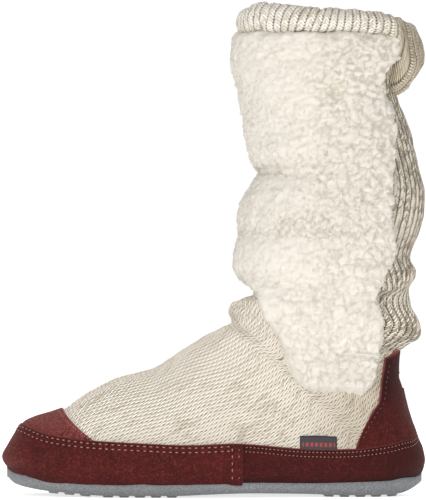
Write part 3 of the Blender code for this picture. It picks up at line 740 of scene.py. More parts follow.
@dataclass(frozen=True)
class SuedeFinish:
    """Brushed suede: mottled nap, a paler cut edge, with painted shade and painted light from the piece's
    shade value.
    """

    name: str
    deep: tuple[float, float, float] = (0.029, 0.0034, 0.0031)
    mid: tuple[float, float, float] = (0.076, 0.0072, 0.0058)
    pale: tuple[float, float, float] = (0.150, 0.030, 0.026)
    # Paler suede for the toe cap, also used as painted light.
    pale_and_lit: tuple[float, float, float] = (0.235, 0.058, 0.055)
    shadow: tuple[float, float, float] = (0.019, 0.0020, 0.0020)
    cut: tuple[float, float, float] = (0.27, 0.080, 0.070)

    def make(self) -> bpy.types.Material:
        """Builds the material; the piece's edge value is 1 at its cut edge."""
        net = Net(self.name)
        nap = net.noise(105, 4, roughness=0.62)
        fine = net.noise(640, 3, roughness=0.75)
        speck = net.noise(1600, 2, roughness=0.7)
        flecks = net.plus(net.times(fine, 0.6), net.times(speck, 0.4))
        colour = net.mix(net.step(nap, 0.12, 0.86), self.deep, self.mid)
        colour = net.mix(net.times(net.step(flecks, 0.48, 0.64), 0.75), colour, self.pale)
        # Above 0 the shade value paints shade; below 0 it paints light, and on the toe cap also its paler
        # suede.
        shade = net.value("shade")
        pale_and_lit = net.plus(0.12, net.times(net.step(flecks, 0.38, 0.60), 1.0))
        pale_and_lit = net.times(net.times(shade, -1.0, clamp=True), pale_and_lit)
        colour = net.mix(pale_and_lit, colour, self.pale_and_lit)
        colour = net.mix(net.math("MAXIMUM", shade, 0.0), colour, self.shadow)
        edge = net.times(net.value("edge"), net.plus(0.45, net.times(fine, 0.8)))
        colour = net.mix(edge, colour, self.cut)
        rough = net.plus(net.times(speck, 0.7), net.times(fine, 0.8))
        net.set(
            Base_Color=colour,
            Roughness=0.92,
            Normal=net.bump(rough, 0.00045, 0.9),
            Sheen_Weight=0.12,
            Sheen_Roughness=0.45,
            Sheen_Tint=(0.75, 0.38, 0.35),
        )
        net.set(**{"Specular_IOR_Level": 0.2})
        return net.material


@dataclass(frozen=True)
class RubberFinish:
    """Matt grey moulded rubber with a fine speckle, with painted shade towards the floor."""

    name: str
    dark: tuple[float, float, float] = (0.150, 0.158, 0.167)
    pale: tuple[float, float, float] = (0.275, 0.285, 0.298)
    cloud: tuple[float, float, float] = (0.16, 0.165, 0.170)
    lower: tuple[float, float, float] = (0.62, 0.62, 0.61)
    tread: tuple[float, float, float] = (0.30, 0.30, 0.28)

    def make(self) -> bpy.types.Material:
        """Builds the material."""
        net = Net(self.name)
        speck = net.step(net.noise(1300, 2, roughness=0.7), 0.40, 0.66)
        cloud = net.noise(35, 3)
        colour = net.mix(speck, self.dark, self.pale)
        colour = net.mix(net.times(net.step(cloud, 0.4, 0.75), 0.3), colour, self.cloud)
        height = net.height()
        # Painted shade: the lower colour darkens the sole towards the floor, and the tread colour darkens the
        # bars underneath.
        lit = net.mix(net.step(height, 0.0010, 0.0110), self.lower, (1.0, 1.0, 1.0))
        lit = net.mix(net.step(height, 0.0020, 0.0004), lit, self.tread)
        colour = net.mix(1.0, colour, lit, "MULTIPLY")
        relief = net.noise(1500, 3, roughness=0.7)
        net.set(Base_Color=colour, Roughness=0.62, Normal=net.bump(relief, 0.00012, 0.7))
        net.set(**{"Specular_IOR_Level": 0.35})
        return net.material


@dataclass(frozen=True)
class ThreadFinish:
    """Waxed thread."""

    name: str
    colour: tuple[float, float, float] = (0.40, 0.18, 0.155)

    def make(self) -> bpy.types.Material:
        """Builds the material."""
        net = Net(self.name)
        tone = net.noise(900, 2)
        dark = tuple(c * 0.62 for c in self.colour)
        net.set(
            Base_Color=net.mix(net.step(tone, 0.3, 0.7), dark, self.colour),
            Roughness=0.7,
            Normal=net.bump(net.noise(3000, 2), 0.0001, 0.6),
        )
        return net.material


@dataclass(frozen=True)
class LiningFinish:
    """Short cream plush inside the shoe."""

    name: str
    light: tuple[float, float, float] = (0.82, 0.765, 0.67)
    dark: tuple[float, float, float] = (0.58, 0.51, 0.41)

    def make(self) -> bpy.types.Material:
        """Builds the material."""
        net = Net(self.name)
        tuft = net.noise(420, 4, roughness=0.65, distortion=0.6)
        colour = net.mix(net.step(tuft, 0.32, 0.62), self.dark, self.light)
        relief = net.plus(tuft, net.times(net.noise(1900, 2), 0.5))
        net.set(Base_Color=colour, Roughness=1.0, Normal=net.bump(relief, 0.0009, 0.9), Sheen_Weight=0.2)
        net.set(**{"Specular_IOR_Level": 0.1})
        return net.material


@dataclass(frozen=True)
class TapeFinish:
    """Dark woven tape with a plain running stitch of red along its middle."""

    name: str
    dark: tuple[float, float, float] = (0.020, 0.018, 0.023)
    pale: tuple[float, float, float] = (0.052, 0.047, 0.056)
    border: tuple[float, float, float] = (0.012, 0.011, 0.014)
    thread: tuple[float, float, float] = (0.30, 0.042, 0.030)
    dashes: float = 8.0

    def make(self) -> bpy.types.Material:
        """Builds the material from the tape's pattern coordinates, 0 to 1 each way."""
        net = Net(self.name)
        across, along = net.stitches()
        warp = net.math("SINE", net.times(across, 260.0))
        weft = net.math("SINE", net.times(along, 95.0))
        weave = net.plus(0.5, net.times(net.times(warp, weft), 0.5))
        base = net.mix(weave, self.dark, self.pale)
        border = net.step(net.size(net.minus(along, 0.5)), 0.36, 0.44)
        base = net.mix(net.times(border, 0.6), base, self.border)
        beat = net.math("FRACT", net.times(across, self.dashes))
        dash = net.size(net.minus(beat, 0.5))
        dash = net.step(dash, 0.34, 0.26)
        line = net.step(net.size(net.minus(along, 0.42)), 0.15, 0.10)
        ends = net.step(net.size(net.minus(across, 0.5)), 0.44, 0.43)
        red = net.times(net.times(dash, line), ends)
        colour = net.mix(red, base, self.thread)
        net.set(Base_Color=colour, Roughness=0.75, Normal=net.bump(weave, 0.00012, 0.8))
        return net.material


# Creases placed in the soft shaft


@dataclass(frozen=True)
class Crease:
    """A soft trough, or a ridge with a depth below 0, between two places seen from the side.

    Places are (ahead, level) in the shoe's own shares. Width is the trough's half width.
    """

    start: tuple[float, float]
    end: tuple[float, float]
    depth: float
    width: float
    side: Optional[Side] = None

    def at(self, points: Array) -> Array:
        """How deep the crease is at each place."""
        ax, az = -FORM.length * self.start[0], FORM.level(self.start[1])
        bx, bz = -FORM.length * self.end[0], FORM.level(self.end[1])
        x, y, z = points[..., 0], points[..., 1], points[..., 2]
        run, rise = bx - ax, bz - az
        t = ((x - ax) * run + (z - az) * rise) / (run * run + rise * rise)
        off = np.hypot(x - ax - np.clip(t, 0, 1) * run, z - az - np.clip(t, 0, 1) * rise)
        fade = smooth_step(t, -0.15, 0.15) * smooth_step(1 - t, -0.15, 0.15)
        found = self.depth * bell(off, self.width) * fade
        if self.side is not None:
            found = found * smooth_step(y * self.side.value, -0.004, 0.010)
        return found


def creased(points: Array, creases: Sequence[Crease]) -> Array:
    """The depth of all creases together at each place."""
    total = np.zeros(points.shape[:-1])
    for crease in creases:
        total += crease.at(points)
    return total


# The knit foot


@dataclass
class KnitFoot:
    """The knit from the band up over the instep to the fold at the ankle."""

    wale: float = 0.0050
    stitch: float = 0.0030
    grid: float = 0.00066
    wale_turn: float = 0.31
    relief: float = 0.00060
    cap_start: tuple[float, float] = (0.683, 0.396)
    inset: float = 0.0040
    back_low: float = 0.012
    back_high: float = 0.090
    dimmed: float = 0.62
    top_level: float = 1.050
    fine: int = 260
    creases: Sequence[Crease] = (
        Crease((0.345, 0.905), (0.280, 0.780), 0.0016, 0.0045),
        Crease((0.335, 0.985), (0.262, 0.900), 0.0022, 0.0040),
        Crease((0.318, 0.862), (0.245, 0.700), 0.0007, 0.0060),
        Crease((0.400, 0.770), (0.330, 0.600), 0.0006, 0.0090),
        Crease((0.560, 0.600), (0.500, 0.430), 0.0005, 0.0120, Side.OUTER),
        Crease((0.300, 0.955), (0.245, 0.840), -0.0009, 0.0040),
    )

    def lower_line(self, steps: int) -> Array:
        """Where the knit ends below: under the band's top edge, then up under the counter."""
        start = -FORM.length * self.cap_start[0]
        xs = np.linspace(start, self.back_low, 200)
        along = np.stack([xs, FORM.band_top(xs) - self.inset], axis=-1)
        zs = np.linspace(along[-1, 1], self.back_high, 60)[1:]
        up = np.stack([np.full(zs.shape, self.back_low), zs], axis=-1)
        path = np.concatenate([along, up])
        path = np.concatenate([path, np.zeros((len(path), 1))], axis=1)
        return even_line(path, steps)[:, :2]

    def ridge_line(self) -> Array:
        """The front line of the foot, as (ahead, up)."""
        low = FORM.level(self.cap_start[1])
        zs = np.linspace(low, FORM.level(self.top_level), 900)
        path = np.stack([FORM.front_curve(zs), zs, np.zeros_like(zs)], axis=-1)
        length = np.linalg.norm(np.diff(path, axis=0), axis=1).sum()
        return even_line(path, int(length / self.grid) + 1)[:, :2]

    def build(self, material: bpy.types.Material) -> bpy.types.Object:
        """Makes and dresses the knit foot."""
        ridge = self.ridge_line()
        lower = self.lower_line(len(ridge))
        t = 1 - np.cos(np.linspace(0, math.pi / 2, self.fine))
        x = ridge[:, None, 0] + (lower[:, None, 0] - ridge[:, None, 0]) * t
        z = ridge[:, None, 1] + (lower[:, None, 1] - ridge[:, None, 1]) * t
        halves = [FORM.point(x, z, side.value) for side in Side]
        lengths = [np.linalg.norm(np.diff(lines, axis=1), axis=-1).sum(axis=1) for lines in halves]
        count = max(int(length.max() / self.grid) + 2 for length in lengths)
        distances = np.arange(count) * self.grid
        outer, inner = (at_distances(lines, distances) for lines in halves)
        places = np.concatenate([outer[:, :0:-1], inner], axis=1)
        reach = np.concatenate([distances[:0:-1], distances])
        keep_outer, keep_inner = (
            distances[None, :] <= length[:, None] + self.grid * 0.5 for length in lengths
        )
        keep = np.concatenate([keep_outer[:, :0:-1], keep_inner], axis=1)
        down = lower - ridge
        down /= np.linalg.norm(down, axis=1, keepdims=True)
        flat = ridge[:, None] + down[:, None] * reach[None, :, None]
        cosine, sine = math.cos(self.wale_turn), math.sin(self.wale_turn)
        across = (flat[..., 1] * cosine - flat[..., 0] * sine) / self.wale
        along = (flat[..., 0] * cosine + flat[..., 1] * sine) / self.stitch
        out = sheet_normals(places)
        middle = out[len(out) // 2, len(reach) // 2]
        if middle[2] < 0:
            out = -out
        strand = across * 2 % 1.0
        leg = 1 - (np.abs(strand - 0.5) * 2) ** 2
        part = (along + SLANT * (1 - strand) + 0.5 * np.floor(across * 2)) % 1.0
        height = leg * (0.35 + 0.65 * np.sqrt(np.maximum(4 * part * (1 - part), 0)))
        lumps = noise_field(places, 0.016, 3.0) * 0.0005 + noise_field(places, 0.0055, 7.0, 1) * 0.00016
        rise = self.relief * (height - 0.5) + lumps - creased(places, self.creases)
        places = places + out * rise[..., None]
        grid = np.stack([across, along], axis=-1)
        if middle[2] < 0:
            places, grid, keep = places[:, ::-1], grid[:, ::-1], keep[:, ::-1]
        # Painted shade: the knit grows darker towards the heel.
        painted_shade = self.dimmed * smooth_step(places[..., 0], -0.060, -0.005)
        piece = sheet("knit_foot", places, grid, values={"painted_shade": painted_shade}, keep=keep)
        return dress(piece, material, "knit", "upper")


# The shaft


@dataclass
class Shaft:
    """The rings of the shaft and what is laid on it."""

    spread: int = 400

    def half_rings(
        self, heights: Array, starts: Array, ends: Array, side: Side, form: ShoeForm = FORM
    ) -> Array:
        """Dense lines along one side of the shaft, from a start place to an end place at each height."""
        x = starts[:, None] + (ends - starts)[:, None] * eased(self.spread)
        return form.point(x, heights[:, None], side.value)

    def loops(self, heights: Array, columns: int) -> Array:
        """Whole rings from the back, round the outer side and the front, and home again."""
        front, back = FORM.front_curve(heights), FORM.back_curve(heights)
        outer = self.half_rings(heights, back, front, Side.OUTER)
        inner = self.half_rings(heights, front, back, Side.INNER)
        half = columns // 2
        first = even_spread(outer, half + 1)
        second = even_spread(inner, half + 1)
        return np.concatenate([first, second[:, 1:]], axis=1)


@dataclass
class RibStrip(Shaft):
    """The ribbed knit that shows behind the pile panel, from the counter to the cuff."""

    ribs: int = 58
    samples: int = 8
    stitch: float = 0.0018
    row: float = 0.00080
    low_level: float = 0.655
    high_level: float = 1.995
    shown: float = 0.27
    rib_depth: float = 0.0011
    fold_depth: float = 0.0014
    drawn_in: float = 0.0021
    deepest: float = 0.0029
    creases: Sequence[Crease] = (
        Crease((-0.020, 0.985), (-0.100, 1.030), 0.0022, 0.0050),
        Crease((-0.010, 1.125), (-0.100, 1.150), 0.0012, 0.0060),
        Crease((-0.020, 0.775), (-0.110, 0.752), 0.0020, 0.0045),
        Crease((-0.020, 1.500), (-0.110, 1.470), 0.0008, 0.0080),
        Crease((-0.030, 0.900), (-0.110, 0.870), -0.0010, 0.0070),
    )

    def build(self, material: bpy.types.Material) -> bpy.types.Object:
        """Makes and dresses the rib."""
        low, high = FORM.level(self.low_level), FORM.level(self.high_level)
        heights = np.linspace(low, high, int((high - low) / self.row))
        columns = self.ribs * self.samples
        rings = self.loops(heights, columns)
        reach = int(columns * self.shown)
        places = np.concatenate([rings[:, -1 - reach:-1], rings[:, : reach + 1]], axis=1)
        number = np.arange(-reach, reach + 1) / self.samples
        across = np.broadcast_to(number + 0.5, places.shape[:2])
        along = np.broadcast_to((heights / self.stitch)[:, None], places.shape[:2])
        out = sheet_normals(places)
        if out[len(out) // 2, reach][0] < 0:
            out = -out
        off = np.abs(across % 1.0 - 0.5) * 2
        rib = np.cos(np.clip(off, 0, 1) * math.pi / 2) ** 0.55
        lumps = noise_field(places, 0.012, 11.0) * 0.0007
        drawn = 1 - bell(heights - FORM.level(1.09), 0.011)
        drawn = self.drawn_in * drawn * smooth_step(heights, FORM.level(0.74), FORM.level(0.84))
        depth = self.rib_depth + self.fold_depth * bell(heights - FORM.level(0.85), 0.016)
        rise = depth[:, None] * (rib - 0.75) + lumps - drawn[:, None] - creased(places, self.creases)
        rise = np.where(rise < 0, self.deepest * np.tanh(rise / self.deepest), rise)
        places = places + out * rise[..., None]
        piece = sheet("rib_strip", places, np.stack([across, along], axis=-1))
        return dress(piece, material, "rib_knit", "upper")


@dataclass(frozen=True)
class Surface:
    """A soft surface that fibres stand on: places, directions, cover, curl strength and what stays."""

    places: Array
    out: Array
    cover: Array
    strength: Array
    keep: Array


@dataclass
class Lining(Shaft):
    """The plush inside of the foot and shaft, up to the rim."""

    columns: int = 150
    rows: int = 170

    def build(self, material: bpy.types.Material) -> bpy.types.Object:
        """Makes and dresses the lining."""
        first = FORM.level(0.355)
        shares = np.linspace(0.02, 1, 30)
        rings = []
        for share in shares:
            start, end = FORM.ends(lambda x: FORM.feather(x) + share * (first - FORM.feather(x)))
            places = end + (start - end) * eased(self.spread)
            zs = FORM.feather(places) + share * (first - FORM.feather(places))
            outer = FORM.point(places, zs, -1)
            inner = FORM.point(places[::-1], zs[::-1], 1)
            half = self.columns // 2
            rings.append(np.concatenate([even_line(outer, half + 1), even_line(inner, half + 1)[1:]]))
        heights = np.linspace(first, FORM.level(2.0), self.rows)[1:]
        places = np.concatenate([np.array(rings), self.loops(heights, self.columns)])
        out = sheet_normals(places, wrap=True)
        if (out[..., 1] * places[..., 1]).mean() < 0:
            out = -out
        out[:, 0] = out[:, -1] = (out[:, 0] + out[:, -1]) / 2
        places = places - out * (FORM.wall + noise_field(places, 0.007, 5.0) * 0.0004)[..., None]
        places[:, -1] = places[:, 0]
        piece = sheet("lining", places[:, ::-1], merge=1e-6)
        return dress(piece, material, "lining", "upper")


@dataclass(frozen=True)
class Fluff:
    """Fine curled fibres standing out of a soft surface, a few to each root."""

    count: int
    width: float = 0.00030
    shortest: float = 0.0018
    longest: float = 0.0038
    together: int = 3
    spread: float = 0.00035
    sag: float = 0.30

    def build(
        self, name: str, surface: Surface, material: bpy.types.Material, slot: str, node: str, seed: int
    ) -> bpy.types.Object:
        """Makes and dresses the fibres.

        Args:
            name: the piece's name.
            surface: what they stand on.
            material: their finish.
            slot: their material slot, not used.
            node: the solid they are part of.
            seed: sets their places.

        Returns:
            The fibres as one piece.
        """
        rng = np.random.default_rng(seed)
        rows, columns = surface.keep.shape
        roots = self.count * 2 // self.together
        j = rng.integers(1, rows - 1, roots)
        i = rng.integers(1, columns - 1, roots)
        good = surface.keep[j, i] & (surface.cover[j, i] > 0.15)
        j = np.repeat(j[good], self.together)[: self.count]
        i = np.repeat(i[good], self.together)[: self.count]
        count = len(j)
        tilt = rng.normal(0, 0.30, (count, 3))[:: self.together]
        lean = surface.out[j, i] + np.repeat(tilt, self.together, 0)[:count]
        lean /= np.linalg.norm(lean, axis=1, keepdims=True)
        base = surface.places[j, i] + rng.normal(0, self.spread, (count, 3)) - surface.out[j, i] * 0.0009
        length = rng.uniform(self.shortest, self.longest, count) * (0.45 + 0.55 * surface.cover[j, i])
        across = np.cross(lean, rng.normal(0, 1, (count, 3)))
        across /= np.linalg.norm(across, axis=1, keepdims=True)
        bend = np.cross(lean, across)
        turn = rng.uniform(1.0, 2.8, count)[:, None] * np.linspace(0, 1, 4)
        curl = 0.35 + 0.65 * np.clip(surface.strength[j, i], 0, 1)
        forward = np.sin(turn) / turn.max(axis=1, keepdims=True)
        aside = (1 - np.cos(turn)) / turn.max(axis=1, keepdims=True) * curl[:, None]
        rise = forward[..., None] * (lean + np.array([0.0, 0.0, -self.sag]))[:, None]
        path = base[:, None] + length[:, None, None] * (rise + aside[..., None] * bend[:, None])
        half = self.width / 2 * np.array([1.0, 0.9, 0.65, 0.15])
        left = path - across[:, None] * half[None, :, None]
        right = path + across[:, None] * half[None, :, None]
        grid = np.stack([left, right], axis=1).reshape(count * 2, 4, 3)
        curls = {"curl": np.ones(grid.shape[:2])}
        piece = sheet(name, grid, values=curls, keep_faces=lambda i, j: j % 2 == 0)
        return dress(piece, material, slot, node)


@dataclass
class PilePanel(Shaft):
    """The curly pile round the front and sides of the shaft, with a lobe down each side."""

    pile: float = 0.0088
    cell: float = 0.00086
    low_level: float = 0.470
    high_level: float = 1.985
    fold: float = 1.268
    edge_softness: float = 0.0060
    edge_tuck: float = 0.0026
    # ahead, level
    edge: Rows = (
        (-0.048, 1.976), (-0.050, 1.940), (-0.046, 1.881), (-0.030, 1.850), (-0.019, 1.822),
        (-0.013, 1.790), (-0.018, 1.752), (-0.033, 1.705), (-0.044, 1.640), (-0.045, 1.590),
        (-0.040, 1.500), (-0.038, 1.435), (-0.041, 1.320), (-0.043, 1.190), (-0.036, 1.115),
        (-0.021, 1.074), (-0.002, 1.003), (-0.008, 0.944), (-0.018, 0.869), (-0.020, 0.826),
        (-0.005, 0.688), (0.002, 0.580), (0.014, 0.522), (0.034, 0.504), (0.070, 0.518), (0.108, 0.514),
        (0.158, 0.530), (0.192, 0.576), (0.217, 0.660), (0.225, 0.755), (0.241, 0.822),
        (0.262, 0.888), (0.274, 0.966), (0.283, 1.012), (0.300, 1.048), (0.450, 1.080), (0.450, 2.050),
        (-0.048, 2.050),
    )
    creases: Sequence[Crease] = (
        Crease((0.235, 1.250), (0.130, 1.262), 0.0012, 0.0048),
        Crease((0.130, 1.262), (0.010, 1.244), 0.0018, 0.0048),
        Crease((0.262, 1.455), (0.175, 1.520), 0.0012, 0.0065),
        Crease((0.272, 1.583), (0.166, 1.627), 0.0014, 0.0058),
        Crease((0.285, 1.652), (0.196, 1.722), 0.0009, 0.0060),
        Crease((0.262, 1.540), (0.180, 1.570), -0.0008, 0.0080),
        Crease((0.250, 1.420), (0.160, 1.350), -0.0010, 0.0100),
        Crease((0.290, 1.075), (0.190, 1.045), 0.0014, 0.0060),
        Crease((0.190, 1.045), (0.060, 1.010), 0.0010, 0.0070),
        Crease((0.122, 1.560), (0.124, 1.380), 0.0007, 0.0050),
        Crease((0.020, 1.690), (-0.030, 1.720), 0.0016, 0.0060),
        Crease((0.280, 1.900), (0.160, 1.870), 0.0006, 0.0080),
        Crease((-0.005, 1.140), (-0.035, 1.070), 0.0018, 0.0060),
    )

    def build(self, material: bpy.types.Material) -> Surface:
        """Makes and dresses the pile, and gives the surface its fibres stand on."""
        low, high = FORM.level(self.low_level), FORM.level(self.high_level)
        heights = np.linspace(low, high, int((high - low) / self.cell))
        outline = [(-FORM.length * a, FORM.level(v)) for a, v in self.edge]
        closed = heights > FORM.level(1.0)
        back = np.minimum(FORM.back_curve(heights) - 0.0002, 0.022)
        half = int(0.142 / self.cell)
        share = np.linspace(0, 1, half)
        away = smooth_step(share, 0.015, 0.150)[None, :, None]
        halves = []
        for side in Side:
            sharp, soft = (
                self.half_sheet(heights, closed, back, side, form, half) for form in (FORM, SOFT_FORM)
            )
            inside = polygon_depth(sharp[..., 0], sharp[..., 2], outline)
            low_down = smooth_step(FORM.level(1.06) - sharp[..., 2], 0.0, 0.015)
            free = 1 - low_down * (1 - smooth_step(inside, 0.0, 0.014))
            halves.append(sharp + (soft - sharp) * away * free[..., None])
        outer, inner = halves
        places = np.concatenate([outer[:, ::-1], inner[:, 1:]], axis=1)
        places[~closed, half - 1] = outer[~closed, 0]
        out = sheet_normals(places)
        if out[-10, half - 1][0] > 0:
            out = -out
        smoothed = out.copy()
        for _ in range(6):
            smoothed[:, 1:-1] = (smoothed[:, :-2] + smoothed[:, 2:] + 2 * smoothed[:, 1:-1]) / 4
            smoothed[1:-1] = (smoothed[:-2] + smoothed[2:] + 2 * smoothed[1:-1]) / 4
        out = smoothed / np.linalg.norm(smoothed, axis=-1, keepdims=True)
        x, z = places[..., 0], places[..., 2]
        wobble = noise_field(places, 0.0065, 21.0) * 0.0016
        depth = polygon_depth(x, z, outline) + wobble
        rim = FORM.level(self.high_level) - z + wobble
        depth = np.minimum(depth, rim)
        cover = 1 - (1 - np.clip(depth / self.edge_softness, 0, 1)) ** 2.2
        keep = depth > -0.0016
        ahead = float(FORM.front_curve(np.array(FORM.level(1.0))))
        keep &= closed[:, None] | (x > ahead + 0.0006)
        curl_size = self.curl_size(places)
        warp = np.stack([noise_field(places, 0.0075, s, 3) for s in (31.0, 37.0, 41.0)], axis=-1) * 0.0026
        near, second = self.curl_cells(places + warp, curl_size)
        dome = np.clip(1 - near**2 * 1.2, 0, 1)
        ditch = smooth_step(second - near, -0.05, 0.36)
        curl = dome * 0.5 + ditch * 0.5
        fine_near, _ = cell_field(places + warp * 0.5, 0.0027, 57.0)
        fine = np.clip(1 - fine_near**2 * 1.3, 0, 1)
        strength = self.curl_strength(x, z)
        broad = noise_field(places, 0.022, 13.0) * 0.0009
        tuft = noise_field(places, 0.0026, 83.0, 2) * 0.0010
        rise = self.pile * cover
        rise += cover * (strength * (0.0021 * (curl - 0.6) + 0.0006 * (fine - 0.6)) + broad + tuft)
        rise -= cover * creased(places, self.creases)
        rise -= self.edge_tuck * (1 - cover)
        sideways = np.stack([noise_field(places, 0.0035, s, 1) for s in (61.0, 67.0, 71.0)], axis=-1)
        places = places + out * rise[..., None] + sideways * (0.0007 * cover * strength)[..., None]
        # The curl value is low in the ditches between curls, where the finish paints shade.
        tone = np.clip(ditch * 0.75 + fine * 0.25, 0, 1)
        tone = 1 - (1 - tone) * np.clip(strength, 0.15, 1)
        piece = sheet("pile_panel", places[:, ::-1], values={"curl": tone[:, ::-1]}, keep=keep[:, ::-1])
        dress(piece, material, "pile", "fleece_panel")
        return Surface(places, out, cover, strength, keep)

    def half_sheet(
        self, heights: Array, closed: Array, back: Array, side: Side, form: ShoeForm, count: int
    ) -> Array:
        """One side's places on a form: whole to the front line above the ankle, held short of it below."""
        front = form.front_curve(heights)
        limit = float(form.front_curve(np.array(FORM.level(1.0))))
        start = np.where(closed, front, np.maximum(front, limit))
        lines = self.half_rings(heights, start, back, side, form)
        first = np.stack([start, form.centre(start, heights), heights], axis=-1)[:, None]
        across = first + (lines[:, :1] - first) * np.linspace(0, 1, 24)[None, :, None]
        return even_spread(np.concatenate([across, lines], axis=1), count)

    def curl_size(self, places: Array) -> Array:
        """How large the curls are: finer in the fold above the ankle."""
        z = places[..., 2]
        return 1 - bell(z - FORM.level(self.fold), 0.010)

    def curl_cells(self, places: Array, size: Array) -> tuple[Array, Array]:
        """Curl cells of two sizes, mixed by where each belongs."""
        near, second = cell_field(places, 0.0058, 3.0)
        small_near, small_second = cell_field(places, 0.0036, 9.0)
        mix = smooth_step(size, 0.85, 0.35)
        return near + (small_near - near) * mix, second + (small_second - second) * mix

    def curl_strength(self, x: Array, z: Array) -> Array:
        """How curly the pile is: combed smooth at the front, curled at the back and below."""
        back = smooth_step(x, -0.072, -0.022)
        low = smooth_step(FORM.level(1.06) - z, 0.0, 0.015) * 0.45
        fold = bell(z - FORM.level(self.fold), 0.009) * 0.6
        return np.clip(0.22 + 0.78 * back + low + fold, 0, 1.05)


@dataclass
class Cuff:
    """The rib cuff rolled outwards over the rim, bunched at the front and hanging at the back."""

    thick: float = 0.0100
    rise: float = 0.0160
    edge_below: float = 0.0045
    drop: float = 0.0275
    rib: float = 0.0045
    samples: int = 8
    stitch: float = 0.0020
    section: int = 74
    # back, top, drop
    round_table: Rows = (
        (0.000, 0.820, 0.000), (0.070, 0.980, 0.000), (0.250, 0.800, 0.000), (0.500, 0.670, 0.000),
        (0.780, 0.580, 0.020), (0.850, 0.510, 0.200), (0.890, 0.430, 0.620), (0.925, 0.330, 1.120),
        (0.950, 0.200, 1.230), (0.975, 0.170, 1.100), (1.000, 0.160, 0.940),
    )
    # out, up
    roll: Rows = (
        (-0.05, -0.02), (0.45, 0.00), (0.86, 0.12), (1.00, 0.38), (0.93, 0.66), (0.62, 0.89),
        (0.18, 1.00), (-0.20, 0.92), (-0.38, 0.66), (-0.38, 0.35), (-0.36, 0.15),
    )
    # out, up, where it hangs
    hang: Rows = (
        (-0.90, -0.12), (-0.35, -0.09), (0.30, 0.02), (0.80, 0.19), (0.97, 0.38), (0.86, 0.56),
        (0.64, 0.73), (0.26, 0.98), (-0.12, 1.00), (-0.35, 0.80), (-0.38, 0.50),
    )

    def build(self, material: bpy.types.Material) -> bpy.types.Object:
        """Makes and dresses the cuff."""
        rim_z = FORM.level(2.0)
        loops = Shaft().loops(np.array([rim_z]), 2000)[0]
        length = np.linalg.norm(np.diff(loops, axis=0), axis=1).sum()
        ribs = int(round(length / self.rib / 2)) * 2
        columns = ribs * self.samples
        line = even_line(loops, columns + 1)
        tangent = np.roll(line[:-1], -1, axis=0) - np.roll(line[:-1], 1, axis=0)
        tangent = np.concatenate([tangent, tangent[:1]])
        outward = np.stack([-tangent[:, 1], tangent[:, 0], np.zeros(len(line))], axis=-1)
        outward /= np.linalg.norm(outward, axis=1, keepdims=True)
        if (outward[:, 1] * line[:, 1]).mean() < 0:
            outward = -outward
        low_x, high_x = line[:, 0].min(), line[:, 0].max()
        back = (line[:, 0] - low_x) / (high_x - low_x)
        top = column(self.round_table, 0, 1)(back)
        drop = column(self.round_table, 0, 2)(back)
        low = rim_z - self.edge_below - self.drop * drop
        hung = np.minimum(drop, 1.0)
        high = rim_z + self.rise * top
        knots = np.linspace(0, 1, len(self.roll))
        t = np.linspace(0, 1, self.section)
        out, up = (
            smooth_curve(knots, [r[k] for r in self.roll])(t)[:, None] * (1 - hung)
            + smooth_curve(knots, [r[k] for r in self.hang])(t)[:, None] * hung
            for k in (0, 1)
        )
        places = line[None] + outward[None] * (out * self.thick)[..., None]
        places[..., 2] = low[None] + up * (high - low)[None]
        face = sheet_normals(places, wrap=True)
        face[:, 0] = face[:, -1] = (face[:, 0] + face[:, -1]) / 2
        if (face[self.section // 3] * outward).sum(axis=1).mean() < 0:
            face = -face
        number = np.arange(columns + 1) / self.samples
        swirl = self.swirl(line, back)
        across = number[None] + swirl[None] * (t[:, None] - 0.25)
        spans = np.linalg.norm(np.diff(places, axis=0), axis=-1)
        run = np.concatenate([np.zeros((1, columns + 1)), np.cumsum(spans, axis=0)])
        along = run / self.stitch
        off = np.abs(across % 1.0 - 0.5) * 2
        rib = np.cos(np.clip(off, 0, 1) * math.pi / 2) ** 0.8
        lumps = noise_field(places, 0.011, 17.0) * 0.0007
        fold = self.folds(places)
        rise = 0.0007 * (rib - 0.7) + lumps - fold
        rise[:, -1] = rise[:, 0]
        places = places + face * rise[..., None]
        places[:, -1] = places[:, 0]
        grid = np.stack([across, along], axis=-1)
        flipped = self.inside_out(places, outward)
        if flipped:
            places, grid = places[:, ::-1], grid[:, ::-1]
        # Painted shade: darker where the cuff hangs down at the back and towards the back, fading towards the
        # ends of its section.
        painted_shade = np.clip(drop + 0.5 * smooth_step(back, 0.70, 0.92), 0, 1)[None]
        painted_shade = painted_shade * smooth_step(1 - t, 0.05, 0.45)[:, None]
        painted_shade = painted_shade * (0.75 + 0.25 * smooth_step(t, 0.0, 0.2))[:, None]
        if flipped:
            painted_shade = painted_shade[:, ::-1]
        piece = sheet("cuff_rib", places, grid, values={"painted_shade": painted_shade}, merge=1e-6)
        return dress(piece, material, "rib_knit", "cuff")

    def swirl(self, line: Array, back: Array) -> Array:
        """How far the ribs lean as they go over the roll, in ribs: most at the front of the outer side."""
        lean = bell(back - 0.36, 0.20) * 3.2 + bell(back - 0.97, 0.05) * 1.5
        return lean * -np.sign(line[:, 1])

    def folds(self, places: Array) -> Array:
        """Bunched folds across the roll, placed along the rim, on both sides."""
        x, y, z = places[..., 0], places[..., 1], places[..., 2]
        total = np.zeros(x.shape)
        table = (
            (-0.0705, 0.30, 0.0013, 0.0016), (-0.0760, -0.45, 0.0010, 0.0014),
            (-0.0400, 0.75, 0.0013, 0.0015), (-0.0240, 0.45, 0.0005, 0.0016),
            (-0.0090, 0.20, 0.0006, 0.0016), (0.0050, 0.15, 0.0006, 0.0016),
        )
        for place, lean, depth, width in table:
            off = x - place - lean * (z - FORM.level(2.0) - 0.004)
            total += depth * bell(off, width)
        return total

    def inside_out(self, places: Array, outward: Array) -> bool:
        """Whether the sheet's faces would point into the roll."""
        found = sheet_normals(places, wrap=True)[self.section // 3]
        return bool((found * outward).sum(axis=1).mean() < 0)


# Suede


